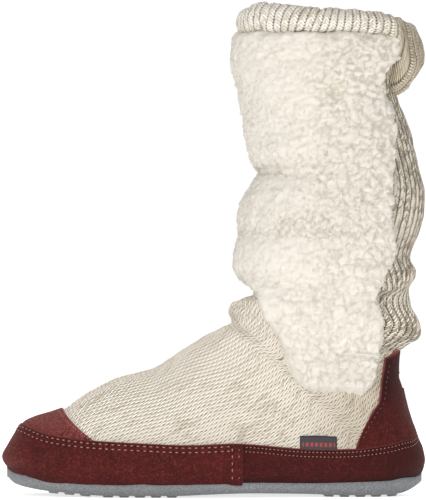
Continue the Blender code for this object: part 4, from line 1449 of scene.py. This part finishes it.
@dataclass
class Suede:
    """A suede piece laid on the knit, with rounded cut edges."""

    thick: float = 0.0017
    roundness: float = 0.0009

    def lift(self, edge: Array) -> Array:
        """How far the suede stands off the knit at a distance from its cut edge."""
        t = np.clip(edge / self.roundness, 0, 1)
        return self.thick * np.sqrt(1 - (1 - t) ** 2)

    def lay(
        self,
        name: str,
        places: Array,
        edges: Array,
        shade: Array,
        material: bpy.types.Material,
        node: str,
        extra: float | Array = 0.0,
    ) -> bpy.types.Object:
        """Lays the suede on a grid of places.

        Args:
            name: the piece's name.
            places: the grid on the knit.
            edges: how far each place is from the nearest cut edge.
            shade: how much shade is painted on it; below 0, painted light and paler suede.
            material: its finish.
            node: the solid it stands for.
            extra: how much higher it stands, such as over a lap.

        Returns:
            The piece.
        """
        out = sheet_normals(places)
        centre = places.reshape(-1, 3).mean(axis=0)
        flipped = (out * (places - centre)).sum(axis=-1).mean() < 0
        if flipped:
            out = -out
        pull = noise_field(places, 0.014, 23.0) * 0.00022 + noise_field(places, 0.0035, 29.0, 1) * 0.00007
        rise = self.lift(edges) * (1 + extra / self.thick) + pull * np.clip(edges / 0.002, 0, 1)
        lifted = places + out * rise[..., None]
        values = {"edge": np.clip(1 - edges / 0.0011, 0, 1), "shade": shade}
        if flipped:
            lifted = lifted[:, ::-1]
            values = {k: v[:, ::-1] for k, v in values.items()}
        piece = sheet(name, lifted, values=values)
        return dress(piece, material, "suede", node)


@dataclass
class Band(Suede):
    """The suede band round the foot, in a front and a rear piece."""

    thick: float = 0.0024
    rear_thick: float = 0.0019
    seam: float = -0.0835
    overlap: float = 0.0060
    rows: int = 56
    step: float = 0.0012
    rows_below: tuple[float, float] = (0.0023, 0.0050)
    lap_rows: tuple[float, float] = (0.0035, 0.0077)

    def line(self, share: float, count: int = 1600, drop: float = 0.0) -> Array:
        """A closed line round the foot, from the heel round the outer side to the toe and home.

        Args:
            share: its share of the band's height.
            count: how many places it has.
            drop: how far below that it lies.

        Returns:
            The line's places.
        """

        def height(x: Array) -> Array:
            low = FORM.feather(x) + 0.0002
            return low + share * (FORM.band_top(x) - low) - drop

        start, end = FORM.ends(height)
        xs = end + (start - end) * eased(count // 2)
        zs = height(xs)
        outer = FORM.point(xs, zs, -1)
        inner = FORM.point(xs[::-1], zs[::-1], 1)
        return np.concatenate([outer, inner[1:]])

    def part(self, lines: Array, front: bool, seam: float) -> Array:
        """The stretch of each line that belongs to the front or the rear piece."""
        made = []
        for line in lines:
            is_front = line[:, 0] < seam
            if front:
                made.append(line[is_front])
            else:
                cut = np.flatnonzero(is_front)
                made.append(np.concatenate([line[cut[-1] + 1:], line[1:cut[0]]]))
        longest = max(np.linalg.norm(np.diff(m, axis=0), axis=1).sum() for m in made)
        count = int(longest / self.step)
        return np.array([even_line(m, count) for m in made])

    def build(self, material: bpy.types.Material) -> None:
        """Makes and dresses both pieces."""
        shares = np.linspace(0, 1, self.rows)
        lines = [self.line(s) for s in shares]
        for name, front, seam, thick, dark in (
            ("band_rear", False, self.seam - self.overlap, self.rear_thick, 0.42),
            ("band_front", True, self.seam, self.thick + 0.0003, 0.02),
        ):
            places = self.part(lines, front, seam)
            up = shares[:, None] * np.ones(places.shape[1])[None]
            top = (1 - up) * (FORM.band_top(places[..., 0]) - FORM.feather(places[..., 0]))
            run = np.arange(places.shape[1]) * self.step
            side = np.minimum(run, run[::-1])[None] * np.ones(self.rows)[:, None]
            if not front:
                side = side + 1.0
            edges = np.minimum(top, side)
            self_thick = Suede(thick, self.roundness)
            # Painted shade on the band: over the whole rear piece, more towards the heel, low down by the
            # sole and in grooves along the stitch rows; painted light at the toe.
            heel = smooth_step(places[..., 0], -0.02, 0.02) * 0.25
            low = smooth_step(up, 0.30, 0.0) * 0.35
            groove = sum(bell(top - below, 0.0007) for below in self.rows_below) * 0.45
            toe = smooth_step(places[..., 0], -0.215, -0.232) * 0.35
            shade = np.clip(dark + heel + low + groove - toe, -0.5, 0.9)
            node = "foxing_front" if front else "foxing_rear"
            lap = 0.0014 * smooth_step(side, 0.011, 0.004) * (1.0 if front else 0.0)
            self_thick.lay(name, places, edges, shade, material, node, lap)


@dataclass
class ToeCap(Suede):
    """The suede cap over the toes."""

    rows: int = 56
    columns: int = 130
    rear_low: float = 0.655
    rear_high: tuple[float, float] = (0.7400, 0.430)
    bow: float = 0.0016
    seam_inset: float = 0.0034

    def build(self, material: bpy.types.Material) -> bpy.types.Object:
        """Makes and dresses the cap."""
        start_z = float(FORM.band_top(np.array(FORM.ends(FORM.band_top)[0]))) - 0.0015
        zs = np.linspace(start_z, FORM.level(self.rear_high[1]), 400)
        ridge = np.stack([FORM.front_curve(zs), zs, np.zeros_like(zs)], axis=-1)
        ridge = even_line(ridge, self.rows)
        xs = np.linspace(ridge[0, 0], -FORM.length * self.rear_low, 300)
        low = np.stack([xs, FORM.band_top(xs) - 0.0012, np.zeros_like(xs)], axis=-1)
        low = even_line(low, self.rows)
        t = 1 - np.cos(np.linspace(0, math.pi / 2, 200))
        halves = []
        for side in Side:
            x = ridge[:, None, 0] + (low[:, None, 0] - ridge[:, None, 0]) * t
            z = ridge[:, None, 1] + (low[:, None, 1] - ridge[:, None, 1]) * t
            x = x - self.bow * np.sin(t * math.pi) * np.linspace(0, 1, self.rows)[:, None]
            halves.append(even_spread(FORM.point(x, z, side.value), self.columns // 2))
        places = np.concatenate([halves[0][:, :0:-1], halves[1]], axis=1)
        places = places[1:]
        from_back = (ridge[-1, 0] - ridge[0, 0]) * (1 - np.linspace(0, 1, self.rows))[1:]
        edges = np.abs(from_back)[:, None] * np.ones(places.shape[1])[None] * 1.25
        # The shade value below 0 gives the cap's paler suede, with painted light growing towards its top.
        shade = -0.70 - 0.50 * smooth_step(places[..., 2], 0.036, 0.052)
        return self.lay("toe_cap_suede", places, edges, shade, material, "toe_cap")


@dataclass
class HeelCounter(Suede):
    """The suede counter up the back of the heel."""

    rows: int = 74
    columns: int = 90
    top_slant: float = 0.0055
    top: float = 0.0869
    back_x: float = 0.030
    foot_x: float = -0.006
    foot_below: float = 0.0060
    seam_inset: float = 0.0030
    # level, ahead
    edge: Rows = (
        (0.200, 0.058), (0.256, 0.049), (0.296, 0.042), (0.358, 0.028), (0.420, 0.011),
        (0.470, -0.004), (0.581, -0.0105), (0.696, -0.019), (0.750, -0.022),
    )

    def build(self, material: bpy.types.Material) -> bpy.types.Object:
        """Makes and dresses the counter."""
        foot_z = FORM.band_top(np.array(self.foot_x))
        low = float(foot_z) - self.foot_below
        shares = np.linspace(0, 1, self.rows)
        turn = eased(300)
        halves = []
        for side in Side:
            lines = []
            for share in shares:
                z0 = low + share * (self.top - low)
                start = -FORM.length * float(column(self.edge, 0, 1)(np.array(z0 / FORM.ankle_height)))
                dip = (1 - share) * (FORM.band_top(start + (self.back_x - start) * turn) - foot_z)
                end = float(FORM.back_curve(np.array(z0 + dip[-1])))
                x = start + (end - start) * turn
                slant = self.top_slant * share * (x - start) / (end - start)
                lines.append(FORM.point(x, z0 + dip + slant, side.value))
            halves.append(even_spread(np.array(lines), self.columns // 2))
        places = np.concatenate([halves[0], halves[1][:, -2::-1]], axis=1)
        run = run_along(places)
        side = np.minimum(run, run[:, -1:] - run)
        top = (1 - shares)[:, None] * (self.top - low) * np.ones(places.shape[1])[None]
        edges = np.minimum(side, top)
        shade = 0.12 + smooth_step(places[..., 2], 0.040, 0.078) * 0.80 + smooth_step(side, 0.012, 0.0) * 0.25
        shade = np.clip(shade, 0, 0.95)
        return self.lay("counter_suede", places, edges, shade, material, "heel_counter")


# Stitches


@dataclass
class Stitching:
    """Rows of stitches along the suede."""

    name: str = "stitches"
    pitch: float = 0.0040
    length: float = 0.0022
    width: float = 0.00085
    places: list = field(default_factory=list)

    def row(self, points: Array, outward: Array, lift: float) -> None:
        """Adds a row along a line of places.

        Args:
            points: the line, on the knit's surface.
            outward: the surface's direction at each.
            lift: how far the suede stands off there.
        """
        spans = np.linalg.norm(np.diff(points, axis=0), axis=1)
        run = np.concatenate([[0], np.cumsum(spans)])
        near = 0.0005
        for middle in np.arange(self.pitch / 2, run[-1], self.pitch):
            centre, ahead, behind = (
                places_at(points, run, middle + step) for step in (0.0, near, -near)
            )
            out = places_at(outward, run, middle)
            self.places.append((centre + out * lift, ahead - behind, out))

    def side_row(self, x: Array, z: Array, lift: float) -> None:
        """Adds a row to both sides of the shoe along places seen from the side."""
        for side in Side:
            self.row(FORM.point(x, z, side.value), FORM.outward(x, z, side.value), lift)

    def build(self, material: bpy.types.Material) -> bpy.types.Object:
        """Makes and dresses all stitches as one piece."""
        bm = bmesh.new()
        for centre, along, out in self.places:
            forward = Vector(along).normalized()
            up = Vector(out)
            up = (up - forward * up.dot(forward)).normalized()
            aside = up.cross(forward)
            turn = Matrix((forward, aside, up)).transposed().to_4x4()
            size = Matrix.Diagonal((self.length / 2, self.width / 2, self.width / 2.4, 1))
            bmesh.ops.create_uvsphere(
                bm, u_segments=6, v_segments=5, radius=1.0,
                matrix=Matrix.Translation(Vector(centre)) @ turn @ size,
            )
        mesh = bpy.data.meshes.new(self.name)
        bm.to_mesh(mesh)
        bm.free()
        mesh.shade_smooth()
        return dress(add_object(self.name, mesh), material, "suede")


def sew(stitching: Stitching, rear: Stitching, fine: Stitching, dim: Stitching) -> None:
    """Lays the rows of stitches.

    Args:
        stitching: the bold rows along the front band's top and across the laps.
        rear: the rows along the rear band's top.
        fine: the row along the cap's rear edge.
        dim: the row along the counter's edge.
    """
    band = Band()
    for below in band.rows_below:
        line = band.line(1.0, 2400, below)
        x, z = line[:, 0], line[:, 2]
        side = np.where(np.arange(len(line)) < len(line) / 2, -1.0, 1.0)
        inner_x = np.clip(x, FORM.front_curve(z) + 0.0015, FORM.back_curve(z) - 0.0015)
        out = np.where(
            (side < 0)[:, None], FORM.outward(inner_x, z, -1.0), FORM.outward(inner_x, z, 1.0)
        )
        lift = band.thick + 0.0003
        front = line[:, 0] < band.seam
        cut = np.flatnonzero(front)
        stitching.row(line[cut], out[cut], lift)
        behind = np.concatenate([np.arange(cut[-1] + 1, len(line)), np.arange(1, cut[0])])
        rear.row(line[behind], out[behind], band.rear_thick)
    t = np.linspace(0.10, 0.93, 80)
    for inset in band.lap_rows:
        x = np.full(t.shape, band.seam - inset)
        z = FORM.feather(x) + t * (FORM.band_top(x) - FORM.feather(x))
        stitching.side_row(x, z, band.thick + 0.0014)
    cap = ToeCap()
    top_x, top_z = -FORM.length * cap.rear_high[0], FORM.level(cap.rear_high[1])
    low_x = -FORM.length * cap.rear_low
    low_z = float(FORM.band_top(np.array(low_x)))
    t = np.linspace(0.04, 1, 120)
    x = top_x + (low_x - top_x) * t - cap.seam_inset - cap.bow * np.sin(t * math.pi)
    z = np.minimum(top_z + (low_z - top_z) * t, FORM.instep_top(x) - 0.0002)
    fine.side_row(x, z, cap.thick)
    counter = HeelCounter()
    z = np.linspace(FORM.level(0.285), FORM.level(0.680), 120)
    x = -FORM.length * column(counter.edge, 0, 1)(z / FORM.ankle_height) + counter.seam_inset
    dim.side_row(x, z, counter.thick)


# Sole, label, hem


@dataclass
class Outsole:
    """The moulded sole: round lower edge, toe spring, arch and bars of tread."""

    margin: float = 0.0026
    edge_round: float = 0.0030
    tread_margin: float = 0.0032
    bar: float = 0.0062
    pitch: float = 0.0100
    zones: Rows = ((0.772, 0.668), (0.654, 0.454), (0.130, -0.055))
    stations: int = 420
    across: int = 18

    def bar_height(self, x: Array) -> Array:
        """How far the bars of tread stand out under each place."""
        total = np.zeros(x.shape)
        for toeward, heelward in self.zones:
            low, high = -FORM.length * toeward, -FORM.length * heelward
            count = int((high - low + self.pitch - self.bar) // self.pitch)
            first = (low + high) / 2 - (count - 1) * self.pitch / 2
            for i in range(count):
                off = np.abs(x - first - i * self.pitch)
                total = np.maximum(total, smooth_step(self.bar / 2 + 0.0003 - off, 0, 0.0006))
        return total * FORM.tread

    def build(self, material: bpy.types.Material) -> bpy.types.Object:
        """Makes and dresses the sole."""
        line = Band().line(0.0, 4000)
        half = len(line) // 2
        outer, inner = line[: half + 1], line[half:]
        grown = []
        for part, side in ((outer, -1), (inner[::-1], 1)):
            tangent = np.gradient(part[:, :2], axis=0)
            out = np.stack([tangent[:, 1], -tangent[:, 0]], axis=-1)
            out /= np.linalg.norm(out, axis=1, keepdims=True)
            if (out[:, 1] * side).mean() < 0:
                out = -out
            moved = part[:, :2] + out * self.margin
            order = np.argsort(moved[:, 0])
            grown.append(moved[order])
        front = max(g[0, 0] for g in grown)
        back = min(g[-1, 0] for g in grown)
        mixed = 0.45 * eased(self.stations, 0.02) + 0.55 * np.linspace(0.0008, 0.9992, self.stations)
        xs = front + (back - front) * mixed
        ends = np.array([np.interp(xs, g[:, 0], g[:, 1]) for g in grown])
        low_y, high_y = ends.min(axis=0), ends.max(axis=0)
        top = FORM.feather(xs)
        bottom = FORM.sole_bottom(xs)
        bars = self.bar_height(xs)
        edge = np.minimum(self.edge_round, np.minimum((high_y - low_y) / 2.2, (top - bottom) * 0.7))
        inset = np.minimum(self.tread_margin, (high_y - low_y) / 2.1)
        corner = np.linspace(0, math.pi / 2, 6)
        profile = []
        for angle in corner:
            profile.append((low_y + edge * (1 - math.cos(angle)), bottom + edge * (1 - math.sin(angle))))
        profile.insert(0, (low_y, top))
        profile.insert(1, (low_y - 0.0002, (top + bottom) / 2))
        for share in np.linspace(0, 1, self.across):
            y = (low_y + inset) + share * (high_y - low_y - 2 * inset)
            stand = 1.0 if 0 < share < 1 else 0.0
            profile.append((y, bottom - bars * stand))
        for angle in corner[::-1]:
            profile.append((high_y - edge * (1 - math.cos(angle)), bottom + edge * (1 - math.sin(angle))))
        profile.append((high_y + 0.0002, (top + bottom) / 2))
        profile.append((high_y, top))
        profile.append(((high_y + low_y) / 2, top))
        profile.append((low_y, top))
        places = np.array([np.stack([xs, np.broadcast_to(y, xs.shape), z], axis=-1) for y, z in profile])
        places = np.transpose(places, (1, 0, 2))
        caps = []
        for row in (places[0], places[-1]):
            caps.append(np.broadcast_to(row.mean(axis=0), row.shape))
        places = np.concatenate([caps[0][None], places, caps[1][None]])
        out = sheet_normals(places)[self.stations // 2, 12]
        if out[2] > 0:
            places = places[:, ::-1]
        piece = sheet("outsole_rubber", places, merge=1e-7)
        return dress(piece, material, "outsole", "outsole")


@dataclass
class Label:
    """The small folded tape at the outer side, standing on the band's top edge."""

    start: float = 0.0482
    width: float = 0.0235
    height: float = 0.0078
    lift: float = 0.0010

    def build(self, material: bpy.types.Material) -> bpy.types.Object:
        """Makes and dresses the label."""
        columns, rows = 60, 24
        u = np.linspace(0, 1, columns)
        v = np.linspace(0, 1, rows)
        x = -self.start + u * self.width
        x = np.broadcast_to(x, (rows, columns))
        arch = 0.0006 * np.sin(u * math.pi)
        z = FORM.band_top(x) - 0.0016 + v[:, None] * (self.height + 0.0016 + arch)[None]
        places = FORM.point(x, z, -1)
        out = FORM.outward(x, z, -1)
        edge = np.minimum(np.minimum(u, 1 - u)[None] * self.width, (1 - v)[:, None] * self.height)
        rise = 0.0004 + self.lift * np.sqrt(1 - (1 - np.clip(edge / 0.0007, 0, 1)) ** 2)
        rise = rise + 0.0003 * np.sin(u * 5.0)[None] - 0.0004 * (edge < 1e-6)
        places = places + out * rise[..., None]
        grid = np.stack(np.broadcast_arrays(u[None], v[:, None]), axis=-1)
        flip = sheet_normals(places)[rows // 2, columns // 2][1] > 0
        if flip:
            places, grid = places[:, ::-1], grid[:, ::-1]
        piece = sheet("label_tape", places, grid)
        return dress(piece, material, "label", "label")


@dataclass
class LiningHem(Shaft):
    """The tufted edge of the lining that shows under the cuff at the back."""

    rows: int = 22
    columns: int = 90
    high: float = 0.2675
    depth: float = 0.0095
    start: float = 0.0150
    thick: float = 0.0050

    def build(self, material: bpy.types.Material) -> None:
        """Makes and dresses the tuft and its fibres."""
        heights = np.linspace(self.high - self.depth, self.high, self.rows)
        back = FORM.back_curve(heights)
        start = np.full(heights.shape, self.start)
        outer, inner = (
            even_spread(self.half_rings(heights, start, back, side), self.columns // 2) for side in Side
        )
        places = np.concatenate([outer, inner[:, -2::-1]], axis=1)
        out = sheet_normals(places)
        if out[self.rows // 2, places.shape[1] // 2][0] < 0:
            out = -out
        v = np.linspace(0, 1, self.rows)[:, None]
        u = np.linspace(0, 1, places.shape[1])[None]
        cover = np.sqrt(np.clip(1 - (1 - np.clip(v / 0.5, 0, 1)) ** 2, 0, 1))
        cover = cover * np.clip(np.sin(u * math.pi) * 3, 0, 1)
        near, _ = cell_field(places, 0.0030, 5.0)
        rise = self.thick * cover * (0.45 + 0.5 * np.clip(1 - near**2 * 1.3, 0, 1)) - 0.0006 * (1 - cover)
        places = places + out * rise[..., None]
        # The curl value is low between the lumps, where the finish paints shade.
        curl = np.broadcast_to(np.clip(1 - near**2, 0, 1), places.shape[:2])
        if sheet_normals(places)[self.rows // 2, places.shape[1] // 2][0] < 0:
            places, curl = places[:, ::-1], curl[:, ::-1]
        piece = sheet("hem_tuft", places, values={"curl": curl})
        dress(piece, material, "lining", "lining_hem")
        soft = Surface(places, sheet_normals(places), cover, np.ones(cover.shape), cover > 0.1)
        fluff = Fluff(2600, shortest=0.0020, longest=0.0046, width=0.00042, together=6, sag=0.6)
        fluff.build("hem_fibres", soft, material, "lining", "lining_hem", 11)


# Studio


@dataclass(frozen=True)
class Studio:
    """The pale floor, soft light and the camera."""

    distance: float = 3.5
    height: float = 0.150
    centre_x: float = -0.1027
    centre_z: float = 0.1554
    frame_height: float = 0.3170
    ambient: float = 0.485

    def build(self) -> None:
        """Sets up the stage, the lights and the camera."""
        scene = bpy.context.scene
        scene.view_settings.view_transform = "Standard"
        scene.view_settings.look = "None"
        bm = bmesh.new()
        bmesh.ops.create_grid(bm, x_segments=1, y_segments=1, size=6.0)
        mesh = bpy.data.meshes.new("floor")
        bm.to_mesh(mesh)
        bm.free()
        floor = add_object("floor", mesh)
        net = Net("pale floor")
        net.set(Base_Color=(0.90, 0.90, 0.90), Roughness=0.9)
        net.set(Emission_Color=(1.0, 1.0, 1.0), Emission_Strength=0.66)
        mesh.materials.append(net.material)
        world = bpy.data.worlds.new("studio")
        world.use_nodes = True
        nodes, links = world.node_tree.nodes, world.node_tree.links
        soft = nodes["Background"]
        soft.inputs["Color"].default_value = (1.0, 0.985, 0.96, 1)
        soft.inputs["Strength"].default_value = self.ambient
        backdrop = nodes.new("ShaderNodeBackground")
        backdrop.inputs["Color"].default_value = (1.0, 1.0, 1.0, 1)
        backdrop.inputs["Strength"].default_value = 1.1
        seen = nodes.new("ShaderNodeLightPath")
        mix = nodes.new("ShaderNodeMixShader")
        links.new(seen.outputs["Is Camera Ray"], mix.inputs[0])
        links.new(soft.outputs[0], mix.inputs[1])
        links.new(backdrop.outputs[0], mix.inputs[2])
        links.new(mix.outputs[0], nodes["World Output"].inputs["Surface"])
        scene.world = world
        self.lamp("key", (-0.42, -1.70, 0.55), 0.8, 17.5)
        self.lamp("fill", (0.95, -1.20, 0.35), 1.2, 3.0)
        self.lamp("back", (0.30, 1.40, 1.10), 1.2, 10.0)
        self.camera()

    def lamp(self, name: str, place: tuple[float, float, float], size: float, power: float) -> None:
        """A soft square light aimed at the shoe."""
        light = bpy.data.lights.new(name, "AREA")
        light.shape = "SQUARE"
        light.size = size
        light.energy = power
        lamp = add_object(name, light)
        lamp.location = place
        aim = Vector((self.centre_x, 0, 0.13)) - Vector(place)
        lamp.rotation_euler = aim.to_track_quat("-Z", "Y").to_euler()

    def camera(self) -> None:
        """A long lens, level with the shaft, looking square at the outer side."""
        data = bpy.data.cameras.new("camera")
        data.sensor_width = 36.0
        data.lens = 36.0 * self.distance / self.frame_height
        data.clip_start, data.clip_end = 0.05, 50.0
        camera = add_object("camera", data)
        place = Vector((self.centre_x, -self.distance, self.height))
        camera.location = place
        aim = Vector((self.centre_x, 0.0, self.centre_z)) - place
        camera.rotation_euler = aim.to_track_quat("-Z", "Y").to_euler()
        bpy.context.scene.camera = camera


def main() -> None:
    """Builds the shoe's pieces in order and reports each."""
    logging.basicConfig(level=logging.INFO, format="%(message)s")
    foot_knit = KnitFinish(
        "foot knit",
        twisted=True,
        light=(1.0, 0.920, 0.805),
        marl=(0.76, 0.67, 0.54),
        shade=(0.25, 0.20, 0.14),
        pit_share=0.95,
        hollow_from=0.60,
    ).make()
    # The rib strip's knit is darker than the cuff's: stronger marl, and painted shade where it lies at the
    # back behind the pile's edges.
    rib_knit = KnitFinish(
        "rib knit",
        light=(0.88, 0.80, 0.665),
        marl=(0.40, 0.34, 0.255),
        shade=(0.13, 0.10, 0.07),
        dark=(0.045, 0.035, 0.025),
        marl_share=0.44,
        trough=1.0,
        rib_share=0.88,
        slant=1.2,
        jitter=0.16,
        hollow_from=0.58,
    ).make()
    cuff_knit = KnitFinish(
        "cuff knit",
        light=(1.0, 0.95, 0.86),
        marl=(0.76, 0.68, 0.56),
        shade=(0.36, 0.30, 0.22),
        marl_share=0.42,
        trough=0.60,
        rib_share=0.88,
        slant=1.1,
        jitter=0.24,
    ).make()
    pile = PileFinish("curly pile").make()
    lining = LiningFinish("plush lining").make()
    suede = SuedeFinish("burgundy suede").make()
    KnitFoot().build(foot_knit)
    RibStrip().build(rib_knit)
    Lining().build(lining)
    panel = PilePanel().build(pile)
    Fluff(32000).build("pile_fibres", panel, pile, "pile", "fleece_panel", 5)
    Cuff().build(cuff_knit)
    Band().build(suede)
    ToeCap().build(suede)
    HeelCounter().build(suede)
    bold, fine = Stitching(), Stitching("cap_stitches", 0.0026, 0.0014, 0.00065)
    dim = Stitching("counter_stitches", 0.0036, 0.0016, 0.00065)
    rear = Stitching("rear_stitches", 0.0025, 0.0014, 0.00065)
    sew(bold, rear, fine, dim)
    thread = ThreadFinish("thread").make()
    bold.build(thread)
    rear.build(thread)
    fine.build(thread)
    # Painted shade: the counter's stitches take a darker copy of the thread.
    dim.build(ThreadFinish("dim thread", (0.16, 0.055, 0.045)).make())
    Outsole().build(RubberFinish("grey rubber").make())
    Label().build(TapeFinish("label tape").make())
    # Painted shade: the hem tuft is darker than the cream lining it edges, where it lies under the hanging
    # cuff.
    tuft = PileFinish("lining tuft", light=(0.56, 0.51, 0.43), hollow=(0.36, 0.31, 0.25)).make()
    LiningHem().build(tuft)
    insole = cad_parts["insole"]
    insole.data.materials.clear()
    insole.data.materials.append(lining)
    Studio().build()


if __name__ == "__main__":
    main()
